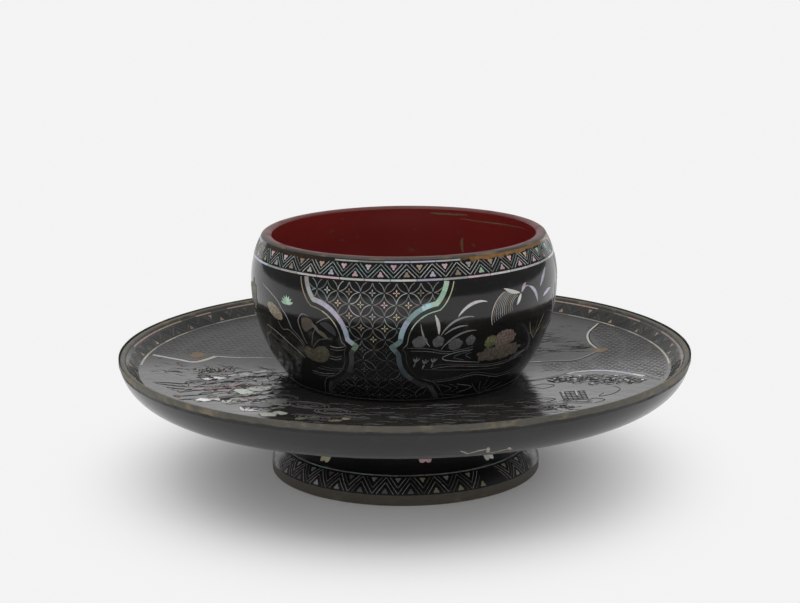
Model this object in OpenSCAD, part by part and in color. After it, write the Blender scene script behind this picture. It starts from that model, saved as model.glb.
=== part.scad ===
// Tea-bowl stand of turned wood, lacquered black and red and inlaid with mother-of-pearl.
// A cup-shaped collar stands on a wide dish, and the dish on a flared foot ring.
// The axis of turning is Z, and the foot rests on Z = 0. The viewer stands towards -Y.

/* [Dish] */
// Diameter of the dish over its lip
dish_d = 165; // [155:1:175]
// Height of the crest of the dish's lip
dish_lip_z = 35.5; // [34:0.5:38]
// Width of the worn band along the dish's lip
dish_lip_w = 2.1; // [1.8:0.1:2.4]
// Height of the lip's crest above the top of the brim
dish_lip_rise = 0.7; // [0.5:0.1:0.9]
// Height of the worn band on the dish's outer side
dish_lip_h = 2.4; // [2.2:0.1:3]
// Run of the sloping brim along the radius
brim_run = 3.5; // [3:0.1:4.5]
// Fall of the brim from the lip to the field
brim_fall = 3.1; // [2.6:0.1:3.6]
// Fall of the field from the brim to the cup
field_fall = 3.4; // [2.5:0.1:4]
// Radius of the rounded underside near the lip
under_round = 12.5; // [11:0.1:14]
// Height of that rounding's centre above the lip's crest
under_rise = 0.9; // [0.5:0.1:1.3]
// Fall of the underside from that rounding to the foot
under_fall = 1; // [0.5:0.1:1.5]

/* [Cup] */
// Diameter of the cup at its belly
cup_d = 88; // [85:0.5:91]
// Radius of the cup's profile above the belly
shoulder_arc = 26; // [25:0.5:29]
// Radius of the cup's profile below the belly
side_arc = 43.5; // [42:0.5:46]
// Height of the crest of the cup's lip
cup_lip_z = 70.3; // [69:0.1:72]
// Height of the cup's belly
belly_z = 57; // [55:0.5:58]
// Height of the cup's rounded lip
cup_lip_h = 0.7; // [0.6:0.1:1]
// Swell of the lip past the wall on either side
lip_swell = 0.05; // [0.03:0.01:0.1]
// Thickness of the cup's wall, all layers together
cup_wall = 2.4; // [2.2:0.1:3]
// Thickness of the ring at the bottom of the cup
cup_floor_t = 2.6; // [2:0.1:4]

/* [Foot] */
// Diameter of the foot at the table
foot_d = 78.2; // [75:0.2:82]
// Height of the worn edge at the table
foot_edge_h = 3.2; // [2.6:0.1:3.6]
// Diameter of the foot at the pearl line on its shoulder
shoulder_d = 69.2; // [67:0.2:71]
// Height of that pearl line
shoulder_z = 7.8; // [7:0.1:8.6]
// Rounding of the worn edge at the table
foot_round = 0.8; // [0.5:0.1:1.2]
// Swell of the flaring side above a straight line
flare_swell = 0.7; // [0.4:0.1:1]
// Diameter of the foot at its neck
neck_d = 61; // [60:0.2:63]
// Diameter of the hollow at the table
hollow_d = 69; // [66:0.5:71]
// Height of the tapering part of the hollow
hollow_h = 9; // [7:0.5:10]

/* [Joint] */
// Diameter of the cup's spigot, which passes through the dish into the foot
spigot_d = 54; // [52:0.2:55]
// Thickness of the spigot's wall
spigot_wall = 2.6; // [2:0.1:3.2]
// Depth of the spigot in the foot
spigot_depth = 9; // [7:0.5:10]
// Clearance of the spigot in its holes
spigot_fit = 0.05; // [0.03:0.01:0.1]

/* [Layers] */
// Thickness of the black ground coat
coat_t = 0.45; // [0.35:0.05:0.5]
// Thickness of the red lining and of the coat in the foot
lining_t = 0.4; // [0.3:0.05:0.5]
// Thickness of the shell
shell_t = 0.25; // [0.2:0.01:0.3]
// Bond line between layers and under the shell
bond = 0.03; // [0.02:0.01:0.04]
// Joint between neighbouring pieces of shell
piece_gap = 0.15; // [0.12:0.01:0.2]

/* [Ornament] */
// Distance between the two pearl lines of the cup's band
cup_band_w = 5; // [4.6:0.1:5.4]
// Distance of the lowest pearl line from the foot of the cup
cup_base_off = 0.9; // [0.7:0.1:1.3]
// Width of a pearl line
fillet_w = 0.7; // [0.5:0.05:0.8]
// Length of the pieces of a pearl line
fillet_piece = 7; // [6:0.5:9]
// Width of a fret stroke, measured upright
stroke_w = 0.5; // [0.4:0.05:0.6]
// Distance between fret strokes, measured along the band
stroke_pitch = 1.15; // [1:0.05:1.3]
// Turns of the fret round the cup
cup_turns = 38; // [36:1:40]
// Turns of the fret round the dish
dish_turns = 69; // [66:1:72]
// Turns of the fret round the foot
foot_turns = 34; // [32:1:36]
// Size of the trefoils in the cup's fret
trefoil_size = 0.85; // [0.6:0.05:0.85]
// Size of the scales in the frets of the dish and the foot
scale_size = 0.65; // [0.5:0.05:0.7]
// Width of the frame strip round a picture panel
frame_w = 1.4; // [1.2:0.1:1.6]
// Width of the thin line inside that frame
frame_line_w = 0.4; // [0.3:0.05:0.5]
// Distance of the thin line from the middle of the frame strip
frame_line_off = 2; // [1.7:0.1:2.3]
// Length of the pieces of the frame strip
frame_piece = 2.5; // [2.2:0.1:3]
// Radius of the interlaced circles of the diaper
diaper_r = 3.25; // [3:0.05:3.5]
// Width of the diaper's curved strips
diaper_w = 0.25; // [0.2:0.01:0.3]
// Reach of the diaper's four-pointed florets
floret_r = 1.15; // [1:0.05:1.3]
// Middle height of the flowers on the foot's neck
flower_z = 11.4; // [11.3:0.1:13]
// How far those flowers stand above and below that height by turns
flower_stagger = 0.9; // [0:0.1:0.9]
// Radius of those flowers
flower_r = 2; // [1.6:0.1:2.2]

/* [Pictures] */
// Radius of the round stones on the bank
stone_r = 1.7; // [1.4:0.1:1.8]
// Width of a blade of grass
blade_w = 0.6; // [0.5:0.05:0.7]
// Width of a line of water or a stem
ripple_w = 0.35; // [0.3:0.05:0.4]
// Bow of a line of water between two of its points
ripple_bow = 0.3; // [0.2:0.05:0.4]
// Length of the long leaves
leaf_len = 4.2; // [3.6:0.2:4.6]
// Width of the long leaves
leaf_w = 1; // [0.8:0.1:1.2]
// Length of the small leaves and petals
petal_len = 2.2; // [1.8:0.1:2.4]
// Width of the small leaves and petals
petal_w = 0.8; // [0.6:0.1:0.9]
// Clear eye in the middle of a fan of leaves
fan_eye = 0.9; // [0.8:0.1:1.2]
// Length of the lotus bud
bud_len = 5.8; // [5:0.2:6.2]
// Width of the lotus bud
bud_w = 3.2; // [2.6:0.2:3.4]
// Half width of the lotus leaf
lotus_r = 4.4; // [3.8:0.2:4.8]
// Width of the rock on the bank
bank_rock_w = 13; // [11:0.5:14]
// Radius of the largest round of a wave
wave_r = 2.1; // [1.8:0.1:2.2]
// Width of the cloud lines on the dish
cloud_w = 0.7; // [0.5:0.05:0.8]
// Length of the flakes of the dish's rocks
flake_len = 7; // [6:0.5:8]
// Width of the flakes of the dish's rocks
flake_w = 1.9; // [1.5:0.1:2.2]
// Radius of the largest scroll on the dish
scroll_r = 4.2; // [3.6:0.2:4.6]
// Width of the woven fence on the dish
fence_w = 7.2; // [6:0.4:8]
// Height of the woven fence on the dish
fence_h = 6.4; // [5.6:0.4:7.2]

/* [Hidden] */
$fn = 96;
DEG = 180 / PI;
FRONT = -90;
SPANDREL = FRONT - 11.2;
PANELS = 3;
PANEL_STEP = 360 / PANELS;
CUP_FRET_TURN = 1;
FOOT_FRET_TURN = 2;
FLOWER_TURNS = [-44, 10, 46, 92, 137, 182, 227, 271];
BLADE_STEPS = 6;
BLADE_TAPER = 0.75;

// Radii
dish_r = dish_d / 2;
belly_r = cup_d / 2;
foot_r = foot_d / 2;
shoulder_r = shoulder_d / 2;
neck_r = neck_d / 2;
hollow_r = hollow_d / 2;
spigot_r = spigot_d / 2;
throat_r = spigot_r - spigot_wall;

// Depths below the finished surface: the ground coat, then the wood
ground = shell_t + bond;
wood = ground + coat_t + bond;

// Dish: brim, field and seat of the cup, from the lip inwards
brim_r = dish_r - dish_lip_w;
brim_z = dish_lip_z - dish_lip_rise;
field_r = brim_r - brim_run;
field_z = brim_z - brim_fall;
seat_z = field_z - field_fall;
brim_slope = atan(brim_fall / brim_run);
brim_len = norm([brim_run, brim_fall]);
dish_bead = dish_lip_w / 2;
dish_bead_c = [dish_r - dish_bead, dish_lip_z - dish_bead];
under_c = [dish_r - under_round, dish_lip_z + under_rise];
under_z = under_c[1] - under_round;
foot_top_z = under_z - under_fall;

// Cup: two arcs that meet at the belly
function cup_r(z, depth) =
    let (arc = z >= belly_z ? shoulder_arc : side_arc)
    belly_r - arc + sqrt(pow(arc - depth, 2) - pow(z - belly_z, 2));
cup_base_r = cup_r(seat_z, 0);
core_base_r = cup_r(seat_z - ground, wood);
field_slope = atan(field_fall / (field_r - cup_base_r));
cup_band_top_z = cup_lip_z - cup_lip_h;
lining_depth = cup_wall - lining_t;
lip_out = cup_r(cup_band_top_z, 0) + lip_swell;
lip_in = cup_r(cup_band_top_z, cup_wall) - lip_swell;
lip_half = (lip_out - lip_in) / 2;
lip_arc = (pow(lip_half, 2) + pow(cup_lip_h, 2)) / (2 * cup_lip_h);

// Foot: flaring side from the worn edge up to the shoulder
flare_low = [foot_r, foot_edge_h];
flare_top = [shoulder_r, shoulder_z];
flare_chord = norm(flare_top - flare_low);
flare_arc = (pow(flare_chord / 2, 2) + pow(flare_swell, 2)) / (2 * flare_swell);
flare_out = [flare_top[1] - flare_low[1], flare_low[0] - flare_top[0]] / flare_chord;
flare_c = (flare_low + flare_top) / 2 - flare_out * (flare_arc - flare_swell);
flare_a0 = atan2(flare_low[1] - flare_c[1], flare_low[0] - flare_c[0]);
flare_a1 = atan2(flare_top[1] - flare_c[1], flare_top[0] - flare_c[0]);
flare_len = flare_arc * (flare_a1 - flare_a0) / DEG;
ledge_r = shoulder_r - fillet_w;
neck_mid_z = (shoulder_z + foot_top_z) / 2;
neck_half = foot_top_z - neck_mid_z;
neck_in = ledge_r - neck_r;
neck_arc = (pow(neck_in, 2) + pow(neck_half, 2)) / (2 * neck_in);
spigot_end_z = foot_top_z - spigot_depth;

// Places on a turned surface: [radius, height, tilt of the face], by distance along it
function cup_at(v) =
    let (arc = v >= 0 ? shoulder_arc : side_arc, a = v / arc * DEG)
    [belly_r - arc + arc * cos(a), belly_z + arc * sin(a), a];
function cup_v(z) =
    let (arc = z >= belly_z ? shoulder_arc : side_arc)
    arc * asin((z - belly_z) / arc) / DEG;
function flare_at(v) =
    let (a = flare_a0 + v / flare_arc * DEG)
    [flare_c[0] + flare_arc * cos(a), flare_c[1] + flare_arc * sin(a), a];
function neck_at(z) =
    let (a = asin((neck_mid_z - z) / neck_arc))
    [neck_r + neck_arc * (1 - cos(a)), z, a];
function brim_at(v) =
    [field_r + v * cos(brim_slope), field_z + v * sin(brim_slope), brim_slope];
function field_at(v) =
    [cup_base_r + v * cos(field_slope), seat_z + v * sin(field_slope), field_slope];

// Bands of ornament, as distances along those surfaces
cup_v_top = cup_v(cup_band_top_z) - fillet_w / 2 - piece_gap;
cup_v_fillet = cup_v_top - cup_band_w;
cup_v_base = cup_v(seat_z) + cup_base_off;
field_len = norm([field_r - cup_base_r, field_fall]);
frame_v_top = cup_v_fillet - fillet_w / 2 - piece_gap;
frame_v_low = cup_v_base + fillet_w / 2 + piece_gap;

// Shared building blocks

// Solid of the cup's outline, drawn in by a depth below its finished surface
module cup_outline(depth) {
    intersection() {
        union() {
            translate([belly_r - shoulder_arc, belly_z]) circle(shoulder_arc - depth);
            sleeve(0, belly_r - shoulder_arc);
        }
        translate([0, belly_z]) square([belly_r, cup_lip_z - belly_z]);
    }
    intersection() {
        translate([belly_r - side_arc, belly_z]) circle(side_arc - depth);
        translate([0, seat_z - wood]) square([belly_r, belly_z - seat_z + wood]);
    }
}

// Area between two heights, from the axis out past the dish
module slice(z0, z1) {
    translate([0, z0]) square([dish_r, z1 - z0]);
}

// Area between two radii
module sleeve(r0, r1) {
    translate([r0, 0]) square([r1 - r0, cup_lip_z]);
}

// Everything below the dish's upper face, lowered by a depth
module dish_below(depth) {
    polygon([
        [0, 0], [dish_r, 0], [dish_r, brim_z - depth], [brim_r, brim_z - depth],
        [field_r, field_z - depth], [cup_base_r, seat_z - depth], [0, seat_z - depth]
    ]);
}

// Everything above the dish's underside, raised by a depth
module dish_above(depth) {
    translate(under_c) circle(under_round - depth);
    polygon([
        [0, foot_top_z + depth], [neck_r, foot_top_z + depth], [under_c[0], under_z + depth],
        [under_c[0], cup_lip_z], [0, cup_lip_z]
    ]);
}

// Everything inside the foot's outer side, drawn in by a depth
module foot_outline(depth) {
    intersection() {
        translate(flare_c) circle(flare_arc - depth);
        slice(foot_edge_h, shoulder_z - depth);
    }
    difference() {
        translate([0, foot_edge_h]) square([ledge_r - depth, foot_top_z - foot_edge_h]);
        translate([neck_r + neck_arc, neck_mid_z]) circle(neck_arc + depth);
    }
}

// The foot's hollow, drawn out by a depth
module foot_hollow(depth) {
    polygon([
        [0, -1], [hollow_r + depth, -1], [hollow_r + depth, 0],
        [spigot_r + spigot_fit, hollow_h + depth], [0, hollow_h + depth]
    ]);
}

// Places children on a face that looks outwards: x runs round, y up, z out
module on_wall(turn, place) {
    rotate([0, 0, turn])
    translate([place[0], 0, place[1]])
    rotate([0, -place[2], 0])
    rotate([90, 0, 90])
    children();
}

// Places children on a face that looks up: x runs round, y away from the axis, z up
module on_floor(turn, place) {
    rotate([0, 0, turn])
    translate([place[0], 0, place[1]])
    rotate([0, -place[2], 0])
    rotate([0, 0, -90])
    children();
}

// A flat piece of shell whose upper face lies in the finished surface
module shell_piece() {
    translate([0, 0, -shell_t]) linear_extrude(shell_t) children();
}

// A pearl line round a turned surface, as a ring of pieces with joints between them
module pearl_ring(place, out = 0) {
    count = round(2 * PI * place[0] / fillet_piece);
    gap = piece_gap / place[0] * DEG;
    for (i = [0:count - 1])
        rotate([0, 0, i * 360 / count])
        rotate_extrude(angle = 360 / count - gap)
        translate([place[0], place[1]])
        rotate(place[2] + out)
        translate([-shell_t, -fillet_w / 2])
        square([shell_t, fillet_w]);
}

// One slanting stroke with upright ends
module stroke(p, q) {
    half = stroke_w / 2;
    polygon([p - [0, half], q - [0, half], q + [0, half], p + [0, half]]);
}

// Half of one turn of a fret of three parallel strokes; side is 1 or -1
module fret_half(pitch, height, side, which) {
    reach = pitch / 2;
    low = stroke_w / 2 + piece_gap;
    rise = height - 2 * low;
    slope = rise / reach;
    inset = piece_gap / 2;
    starts = [[inset, low + slope * inset], [inset, low + slope * (stroke_pitch + inset)],
              [stroke_pitch, low]];
    ends = [[reach - inset, low + slope * (reach - inset)], [reach - stroke_pitch, low + rise],
            [reach - inset, low + slope * (reach - stroke_pitch - inset)]];
    stroke([side * starts[which][0], starts[which][1]], [side * ends[which][0], ends[which][1]]);
}

// Small three-lobed leaf that fills the triangles of a fret
module trefoil(size) {
    for (a = [90:120:330])
        rotate(a) translate([size * 0.55, 0]) circle(size * 0.5, $fn = 24);
}

// Plain pointed scale for the narrower frets
module scale_leaf(size) {
    polygon([for (a = [90:120:330]) size * [cos(a), sin(a)]]);
}

// Points on an arc from p to q whose middle lies a bulge to the left of the line
function arc_points(p, q, bulge, steps) =
    let (
        half = norm(q - p) / 2,
        along = (q - p) / (2 * half),
        left = [-along[1], along[0]],
        radius = (half * half + bulge * bulge) / (2 * bulge),
        centre = (p + q) / 2 + left * (bulge - radius),
        a0 = atan2((p - centre)[1], (p - centre)[0]),
        turn = -2 * asin(half / abs(radius)) * sign(bulge)
    )
    [for (i = [0:steps]) centre + abs(radius) * [cos(a0 + turn * i / steps), sin(a0 + turn * i / steps)]];

// Side of a picture panel: [half width of the spandrel, height from the belly, bulge to the next point]
frame_knots = [
    [20, frame_v_top, 0.5], [17.4, 1.2, -2.5], [7.3, -9.2, 0.1], [4.8, -11, 0.1], [6.6, -13.5, -2.4],
    [13.9, -24.5, 0.3], [15.2, frame_v_low, 0]
];

// The same side as points about one piece apart, without doubled corners
function knot(i) = [frame_knots[i][0], frame_knots[i][1]];
function span_steps(i) = max(1, round(norm(knot(i + 1) - knot(i)) / frame_piece));
frame_path = [
    for (i = [0:len(frame_knots) - 2])
        let (run = arc_points(knot(i), knot(i + 1), frame_knots[i][2], span_steps(i)))
        for (j = [0:len(run) - (i < len(frame_knots) - 2 ? 2 : 1)]) run[j]
];

// Direction across a path at a point, stretched so that a mitred strip keeps its width
function across(path, i) =
    let (
        before = i > 0 ? path[i] - path[i - 1] : path[1] - path[0],
        after = i < len(path) - 1 ? path[i + 1] - path[i] : before,
        n0 = [-before[1], before[0]] / norm(before),
        n1 = [-after[1], after[0]] / norm(after),
        middle = (n0 + n1) / norm(n0 + n1)
    )
    middle / max(0.6, middle * n0);

// One mitred piece of a strip that follows a path at a distance to its left
module strip_piece(path, i, width, off) {
    from = path[i];
    to = path[i + 1];
    pull = (to - from) / norm(to - from) * piece_gap / 2;
    n0 = across(path, i);
    n1 = across(path, i + 1);
    near = off - width / 2;
    far = off + width / 2;
    polygon([from + n0 * near + pull, to + n1 * near - pull, to + n1 * far - pull, from + n0 * far + pull]);
}

// Lays a strip along one side of a panel; side is 1 on the viewer's right of the spandrel
module cup_strip(turn, side, width, off) {
    path = [for (p = frame_path) [side * p[0], p[1]]];
    for (i = [0:len(path) - 2]) {
        middle = (path[i] + path[i + 1] + side * off * (across(path, i) + across(path, i + 1))) / 2;
        cup_shell(turn, middle) strip_piece(path, i, width, side * off);
    }
}

// Lays one flat piece, drawn in the rolled-out plane, on the cup at a point of that plane
module cup_shell(turn, p) {
    place = cup_at(p[1]);
    on_wall(turn + p[0] / place[0] * DEG, place) shell_piece() translate(-p) children();
}

// Half width of the spandrel at a height, taken from the sides of the panels
function spandrel_half(v) = lookup(-v, [for (p = frame_path) [-p[1], p[0]]]);

// Circles of the diaper that lie clear of the frame, as [column, row]
diaper_rows = floor((frame_v_top - frame_v_low) / diaper_r);
diaper_clear = frame_w / 2 + piece_gap;
function diaper_point(c) = [c[0] * diaper_r, frame_v_top - diaper_r * (c[1] + 0.9)];
function diaper_inside(p, margin) =
    p[1] < frame_v_top - margin && p[1] > frame_v_low + margin
    && abs(p[0]) < spandrel_half(p[1]) - diaper_clear - margin;
diaper_cells = [
    for (row = [0:diaper_rows - 1], col = [-6:6])
        if ((row + col) % 2 == 0 && diaper_inside(diaper_point([col, row]), 0.9)) [col, row]
];

// Lens, used for leaves and petals, standing on its point
module lens(length, width) {
    radius = (length * length / 4 + width * width / 4) / width;
    translate([0, length / 2])
    intersection_for (s = [-1, 1])
        translate([s * (radius - width / 2), 0]) circle(radius);
}

// Blossom of five round petals in one piece
module blossom(size) {
    for (a = [18:72:306])
        rotate(a) translate([size * 0.58, 0]) circle(size * 0.42, $fn = 24);
    circle(size * 0.35, $fn = 24);
}

// Slender curved piece from p to q that thins towards its ends
module blade(p, q, bulge, width) {
    path = arc_points(p, q, bulge, BLADE_STEPS);
    half = [for (i = [0:BLADE_STEPS]) width / 2 * (1 - BLADE_TAPER * pow(2 * i / BLADE_STEPS - 1, 2))];
    polygon(concat(
        [for (i = [0:BLADE_STEPS]) path[i] + across(path, i) * half[i]],
        [for (i = [BLADE_STEPS:-1:0]) path[i] - across(path, i) * half[i]]
    ));
}

// Lotus leaf seen from the side: two rounds and a point below
module lotus_leaf(size) {
    for (s = [-1, 1])
        translate([s * size * 0.45, size * 0.1]) circle(size * 0.5, $fn = 32);
    polygon(size * [[-0.85, -0.15], [0, -0.75], [0.85, -0.15], [0, 0.3]]);
}

// Axe-cut flake of shell
module flake(length, width) {
    polygon([
        [-length / 2, 0], [-length / 5, -width / 2], [length / 4, -width / 3],
        [length / 2, width / 6], [length / 6, width / 2], [-length / 3, width / 3]
    ]);
}

// Curved strip: part of a ring about the origin
module bow(radius, width, from, sweep) {
    translate([0, 0, -shell_t])
    rotate([0, 0, from])
    rotate_extrude(angle = sweep)
    translate([radius - width / 2, 0])
    square([width, shell_t]);
}

// Turned wood

// Collar of the cup with its floor ring and spigot
module cup_core() {
    color("peru")
    rotate_extrude()
    union() {
        difference() {
            intersection() {
                cup_outline(wood);
                slice(seat_z - wood, cup_band_top_z - bond);
            }
            intersection() {
                cup_outline(lining_depth - bond);
                slice(seat_z + cup_floor_t, cup_lip_z);
            }
            sleeve(0, throat_r);
        }
        translate([throat_r, spigot_end_z]) square([spigot_wall, seat_z + 1 - spigot_end_z]);
    }
}

// Wide dish with the hole for the spigot
module dish_core() {
    color("peru")
    rotate_extrude()
    intersection() {
        dish_below(wood);
        dish_above(coat_t + bond);
        sleeve(spigot_r + spigot_fit, brim_r - bond);
    }
}

// Foot ring with a scooped neck, bored for the spigot
module foot_core() {
    color("peru")
    rotate_extrude()
    difference() {
        union() {
            foot_outline(wood);
            translate([0, lining_t]) square([foot_r - wood - coat_t, foot_edge_h]);
        }
        foot_hollow(lining_t + bond);
        sleeve(0, spigot_r + spigot_fit);
    }
}

// Lacquer coats

// Black ground of the cup's outside
module cup_black_coat() {
    color("black")
    rotate_extrude()
    intersection() {
        difference() {
            cup_outline(ground);
            cup_outline(ground + coat_t);
        }
        slice(seat_z - ground, cup_band_top_z - bond);
    }
}

// Red lining of the cup, its floor ring and the throat
module cup_red_lining() {
    color("darkred")
    rotate_extrude()
    difference() {
        union() {
            intersection() {
                cup_outline(lining_depth);
                slice(seat_z + cup_floor_t + bond, cup_band_top_z - bond);
            }
            translate([0, spigot_end_z]) square([throat_r - bond, seat_z + cup_floor_t + 1 - spigot_end_z]);
        }
        intersection() {
            cup_outline(cup_wall);
            slice(seat_z + cup_floor_t + bond + lining_t, cup_lip_z);
        }
        sleeve(0, throat_r - bond - lining_t);
    }
}

// Black ground of the dish's upper face
module dish_top_coat() {
    color("black")
    rotate_extrude()
    intersection() {
        difference() {
            dish_below(ground);
            dish_below(ground + coat_t);
        }
        sleeve(core_base_r + bond, brim_r - bond);
    }
}

// Black coat of the dish's underside
module dish_under_coat() {
    color("black")
    rotate_extrude()
    intersection() {
        difference() {
            dish_above(0);
            dish_above(coat_t);
        }
        slice(0, dish_lip_z - dish_lip_h - bond);
        sleeve(ledge_r + bond, dish_r);
    }
}

// Black ground of the foot's outside
module foot_black_coat() {
    color("black")
    rotate_extrude()
    intersection() {
        difference() {
            foot_outline(ground);
            foot_outline(ground + coat_t);
        }
        slice(foot_edge_h + bond, foot_top_z - bond);
    }
}

// Black coat inside the foot
module foot_inner_coat() {
    color("black")
    rotate_extrude()
    intersection() {
        difference() {
            foot_hollow(lining_t);
            foot_hollow(0);
        }
        slice(lining_t, hollow_h);
        sleeve(spigot_r + spigot_fit, foot_r);
    }
}

// Worn edges

// Rounded lip of the cup
module cup_lip_band() {
    color("saddlebrown")
    rotate_extrude()
    intersection() {
        translate([(lip_out + lip_in) / 2, cup_lip_z - lip_arc]) circle(lip_arc);
        slice(cup_band_top_z, cup_lip_z + cup_lip_h);
    }
}

// Rounded lip of the dish
module dish_lip_band() {
    color("saddlebrown")
    rotate_extrude()
    union() {
        translate(dish_bead_c) circle(dish_bead);
        intersection() {
            dish_above(0);
            slice(dish_lip_z - dish_lip_h, dish_bead_c[1]);
            sleeve(brim_r, dish_r);
        }
    }
}

// Worn ring on which the foot stands
module foot_edge_band() {
    color("saddlebrown")
    rotate_extrude()
    difference() {
        union() {
            square([foot_r - foot_round, foot_edge_h]);
            translate([0, foot_round]) square([foot_r, foot_edge_h - foot_round]);
            translate([foot_r - foot_round, foot_round]) circle(foot_round);
        }
        foot_hollow(lining_t + bond);
        translate([0, lining_t - bond]) square([foot_r - wood - coat_t + bond, foot_edge_h]);
    }
}

// Pearl lines

module cup_upper_fillet() {
    color("lightcyan") pearl_ring(cup_at(cup_v_top));
}

module cup_lower_fillet() {
    color("lightpink") pearl_ring(cup_at(cup_v_fillet));
}

module cup_base_fillet() {
    color("lightgray") pearl_ring(cup_at(cup_v_base));
}

module dish_outer_fillet() {
    color("lightcyan") pearl_ring(brim_at(brim_len - fillet_w / 2 - piece_gap), 90);
}

module dish_inner_fillet() {
    color("lightcyan") pearl_ring(field_at(field_len - fillet_w / 2 - piece_gap), 90);
}

module foot_fillet() {
    color("lightgreen") pearl_ring(flare_at(flare_len - fillet_w / 2 - piece_gap));
}

// Frets

// Strokes of a fret on a face that looks outwards, in a band of a height about a place; the strokes
// are as long as fits at the band's narrowest radius
module wall_fret(place, height, narrow_r, count, turn) {
    pitch = 2 * PI * narrow_r / count;
    for (i = [0:count - 1], side = [-1, 1], which = [0:2])
        on_wall(turn + (i + side / 4) * 360 / count, place)
        shell_piece()
        translate([-side * pitch / 4, -height / 2])
        fret_half(pitch, height, side, which);
}

cup_fret_low = cup_v_fillet + fillet_w / 2;
cup_fret_h = cup_band_w - fillet_w;
dish_fret_h = brim_len - 2 * piece_gap - fillet_w;
foot_fret_h = flare_len - 2 * piece_gap - fillet_w;
trefoil_inset = 2 * piece_gap + trefoil_size;
scale_inset = 2 * piece_gap + scale_size;

module cup_fret() {
    place = cup_at(cup_fret_low + cup_fret_h / 2);
    narrow_r = cup_at(cup_fret_low + cup_fret_h)[0];
    color("lightgray") wall_fret(place, cup_fret_h, narrow_r, cup_turns, CUP_FRET_TURN);
}

module dish_fret() {
    place = brim_at(dish_fret_h / 2);
    pitch = 2 * PI * brim_at(0)[0] / dish_turns;
    color("lightgray")
    for (i = [0:dish_turns - 1], side = [-1, 1], which = [0:2])
        on_floor((i - side / 4) * 360 / dish_turns, place)
        shell_piece()
        translate([-side * pitch / 4, -dish_fret_h / 2])
        fret_half(pitch, dish_fret_h, side, which);
}

module foot_fret() {
    place = flare_at(foot_fret_h / 2);
    narrow_r = flare_at(foot_fret_h)[0];
    color("lightgray") wall_fret(place, foot_fret_h, narrow_r, foot_turns, FOOT_FRET_TURN);
}

module cup_trefoils() {
    color("pink")
    for (i = [0:cup_turns - 1]) {
        on_wall(CUP_FRET_TURN + i * 360 / cup_turns, cup_at(cup_fret_low + cup_fret_h - trefoil_inset))
            shell_piece() rotate(180) trefoil(trefoil_size);
        on_wall(CUP_FRET_TURN + (i + 0.5) * 360 / cup_turns, cup_at(cup_fret_low + trefoil_inset))
            shell_piece() trefoil(trefoil_size);
    }
}

module dish_scales() {
    color("pink")
    for (i = [0:dish_turns - 1]) {
        on_floor(i * 360 / dish_turns, brim_at(dish_fret_h - scale_inset))
            shell_piece() rotate(180) scale_leaf(scale_size);
        on_floor((i + 0.5) * 360 / dish_turns, brim_at(scale_inset))
            shell_piece() scale_leaf(scale_size);
    }
}

module foot_scales() {
    color("pink")
    for (i = [0:foot_turns - 1]) {
        on_wall(FOOT_FRET_TURN + i * 360 / foot_turns, flare_at(foot_fret_h - scale_inset))
            shell_piece() rotate(180) scale_leaf(scale_size);
        on_wall(FOOT_FRET_TURN + (i + 0.5) * 360 / foot_turns, flare_at(scale_inset))
            shell_piece() scale_leaf(scale_size);
    }
}

// Picture panels and the diaper between them; panel and spandrel number n goes round with the angle

function spandrel_turn(n) = SPANDREL + (n - 1) * PANEL_STEP;
function panel_turn(n) = spandrel_turn(n) + PANEL_STEP / 2;

module panel_frame(n) {
    color("paleturquoise") {
        cup_strip(spandrel_turn(n), 1, frame_w, 0);
        cup_strip(spandrel_turn(n + 1), -1, frame_w, 0);
    }
}

module panel_line(n) {
    color("khaki") {
        cup_strip(spandrel_turn(n), 1, frame_line_w, frame_line_off);
        cup_strip(spandrel_turn(n + 1), -1, frame_line_w, frame_line_off);
    }
}

module diaper_rings(n) {
    trim = acos(1 - (diaper_w + piece_gap) / (2 * diaper_r));
    color("silver")
    for (c = diaper_cells, k = [0:3]) {
        p = diaper_point(c);
        a = 90 * k + 45;
        middle = p + diaper_r * [cos(a), sin(a)];
        ends = [for (e = [-45, 45]) p + diaper_r * [cos(a + e), sin(a + e)]];
        place = cup_at(middle[1]);
        if (diaper_inside(middle, diaper_w) && diaper_inside(ends[0], 0) && diaper_inside(ends[1], 0))
            on_wall(spandrel_turn(n) + middle[0] / place[0] * DEG, place)
            translate(p - middle)
            bow(diaper_r, diaper_w, a - 45 + trim, 90 - 2 * trim);
    }
}

module diaper_florets(n) {
    waist = floret_r / 3;
    star = [for (k = [0:7]) (k % 2 == 0 ? floret_r : waist) * [cos(45 * k), sin(45 * k)]];
    color("mistyrose")
    for (c = diaper_cells) {
        p = diaper_point(c);
        cup_shell(spandrel_turn(n), p) translate(p) polygon(star);
    }
}

// Point of the rolled-out cup: degrees from a panel's middle and a share of the panel's height
function spot(angle, share) =
    let (v = frame_v_low + share * (frame_v_top - frame_v_low))
    [angle / DEG * cup_at(v)[0], v];

// Lays a blade on the cup from one spot to another
module cup_blade(turn, from, to, bulge, width) {
    p = spot(from[0], from[1]);
    q = spot(to[0], to[1]);
    cup_shell(turn, (p + q) / 2) blade(p, q, bulge, width);
}

// Lays a line of water or a stem through spots, as blades end to end
module cup_ripple(turn, spots) {
    for (i = [0:len(spots) - 2]) {
        p = spot(spots[i][0], spots[i][1]);
        q = spot(spots[i + 1][0], spots[i + 1][1]);
        pull = (q - p) / norm(q - p) * piece_gap;
        cup_shell(turn, (p + q) / 2)
            blade(p + pull, q - pull, i % 2 == 0 ? ripple_bow : -ripple_bow, ripple_w);
    }
}

// Lays leaves that spread from one spot
module cup_fan(turn, foot, leans, length, width) {
    p = spot(foot[0], foot[1]);
    for (lean = leans) {
        out = [-sin(lean), cos(lean)];
        cup_shell(turn, p + out * (fan_eye + length / 2))
            translate(p + out * fan_eye) rotate(lean) lens(length, width);
    }
}

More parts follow.
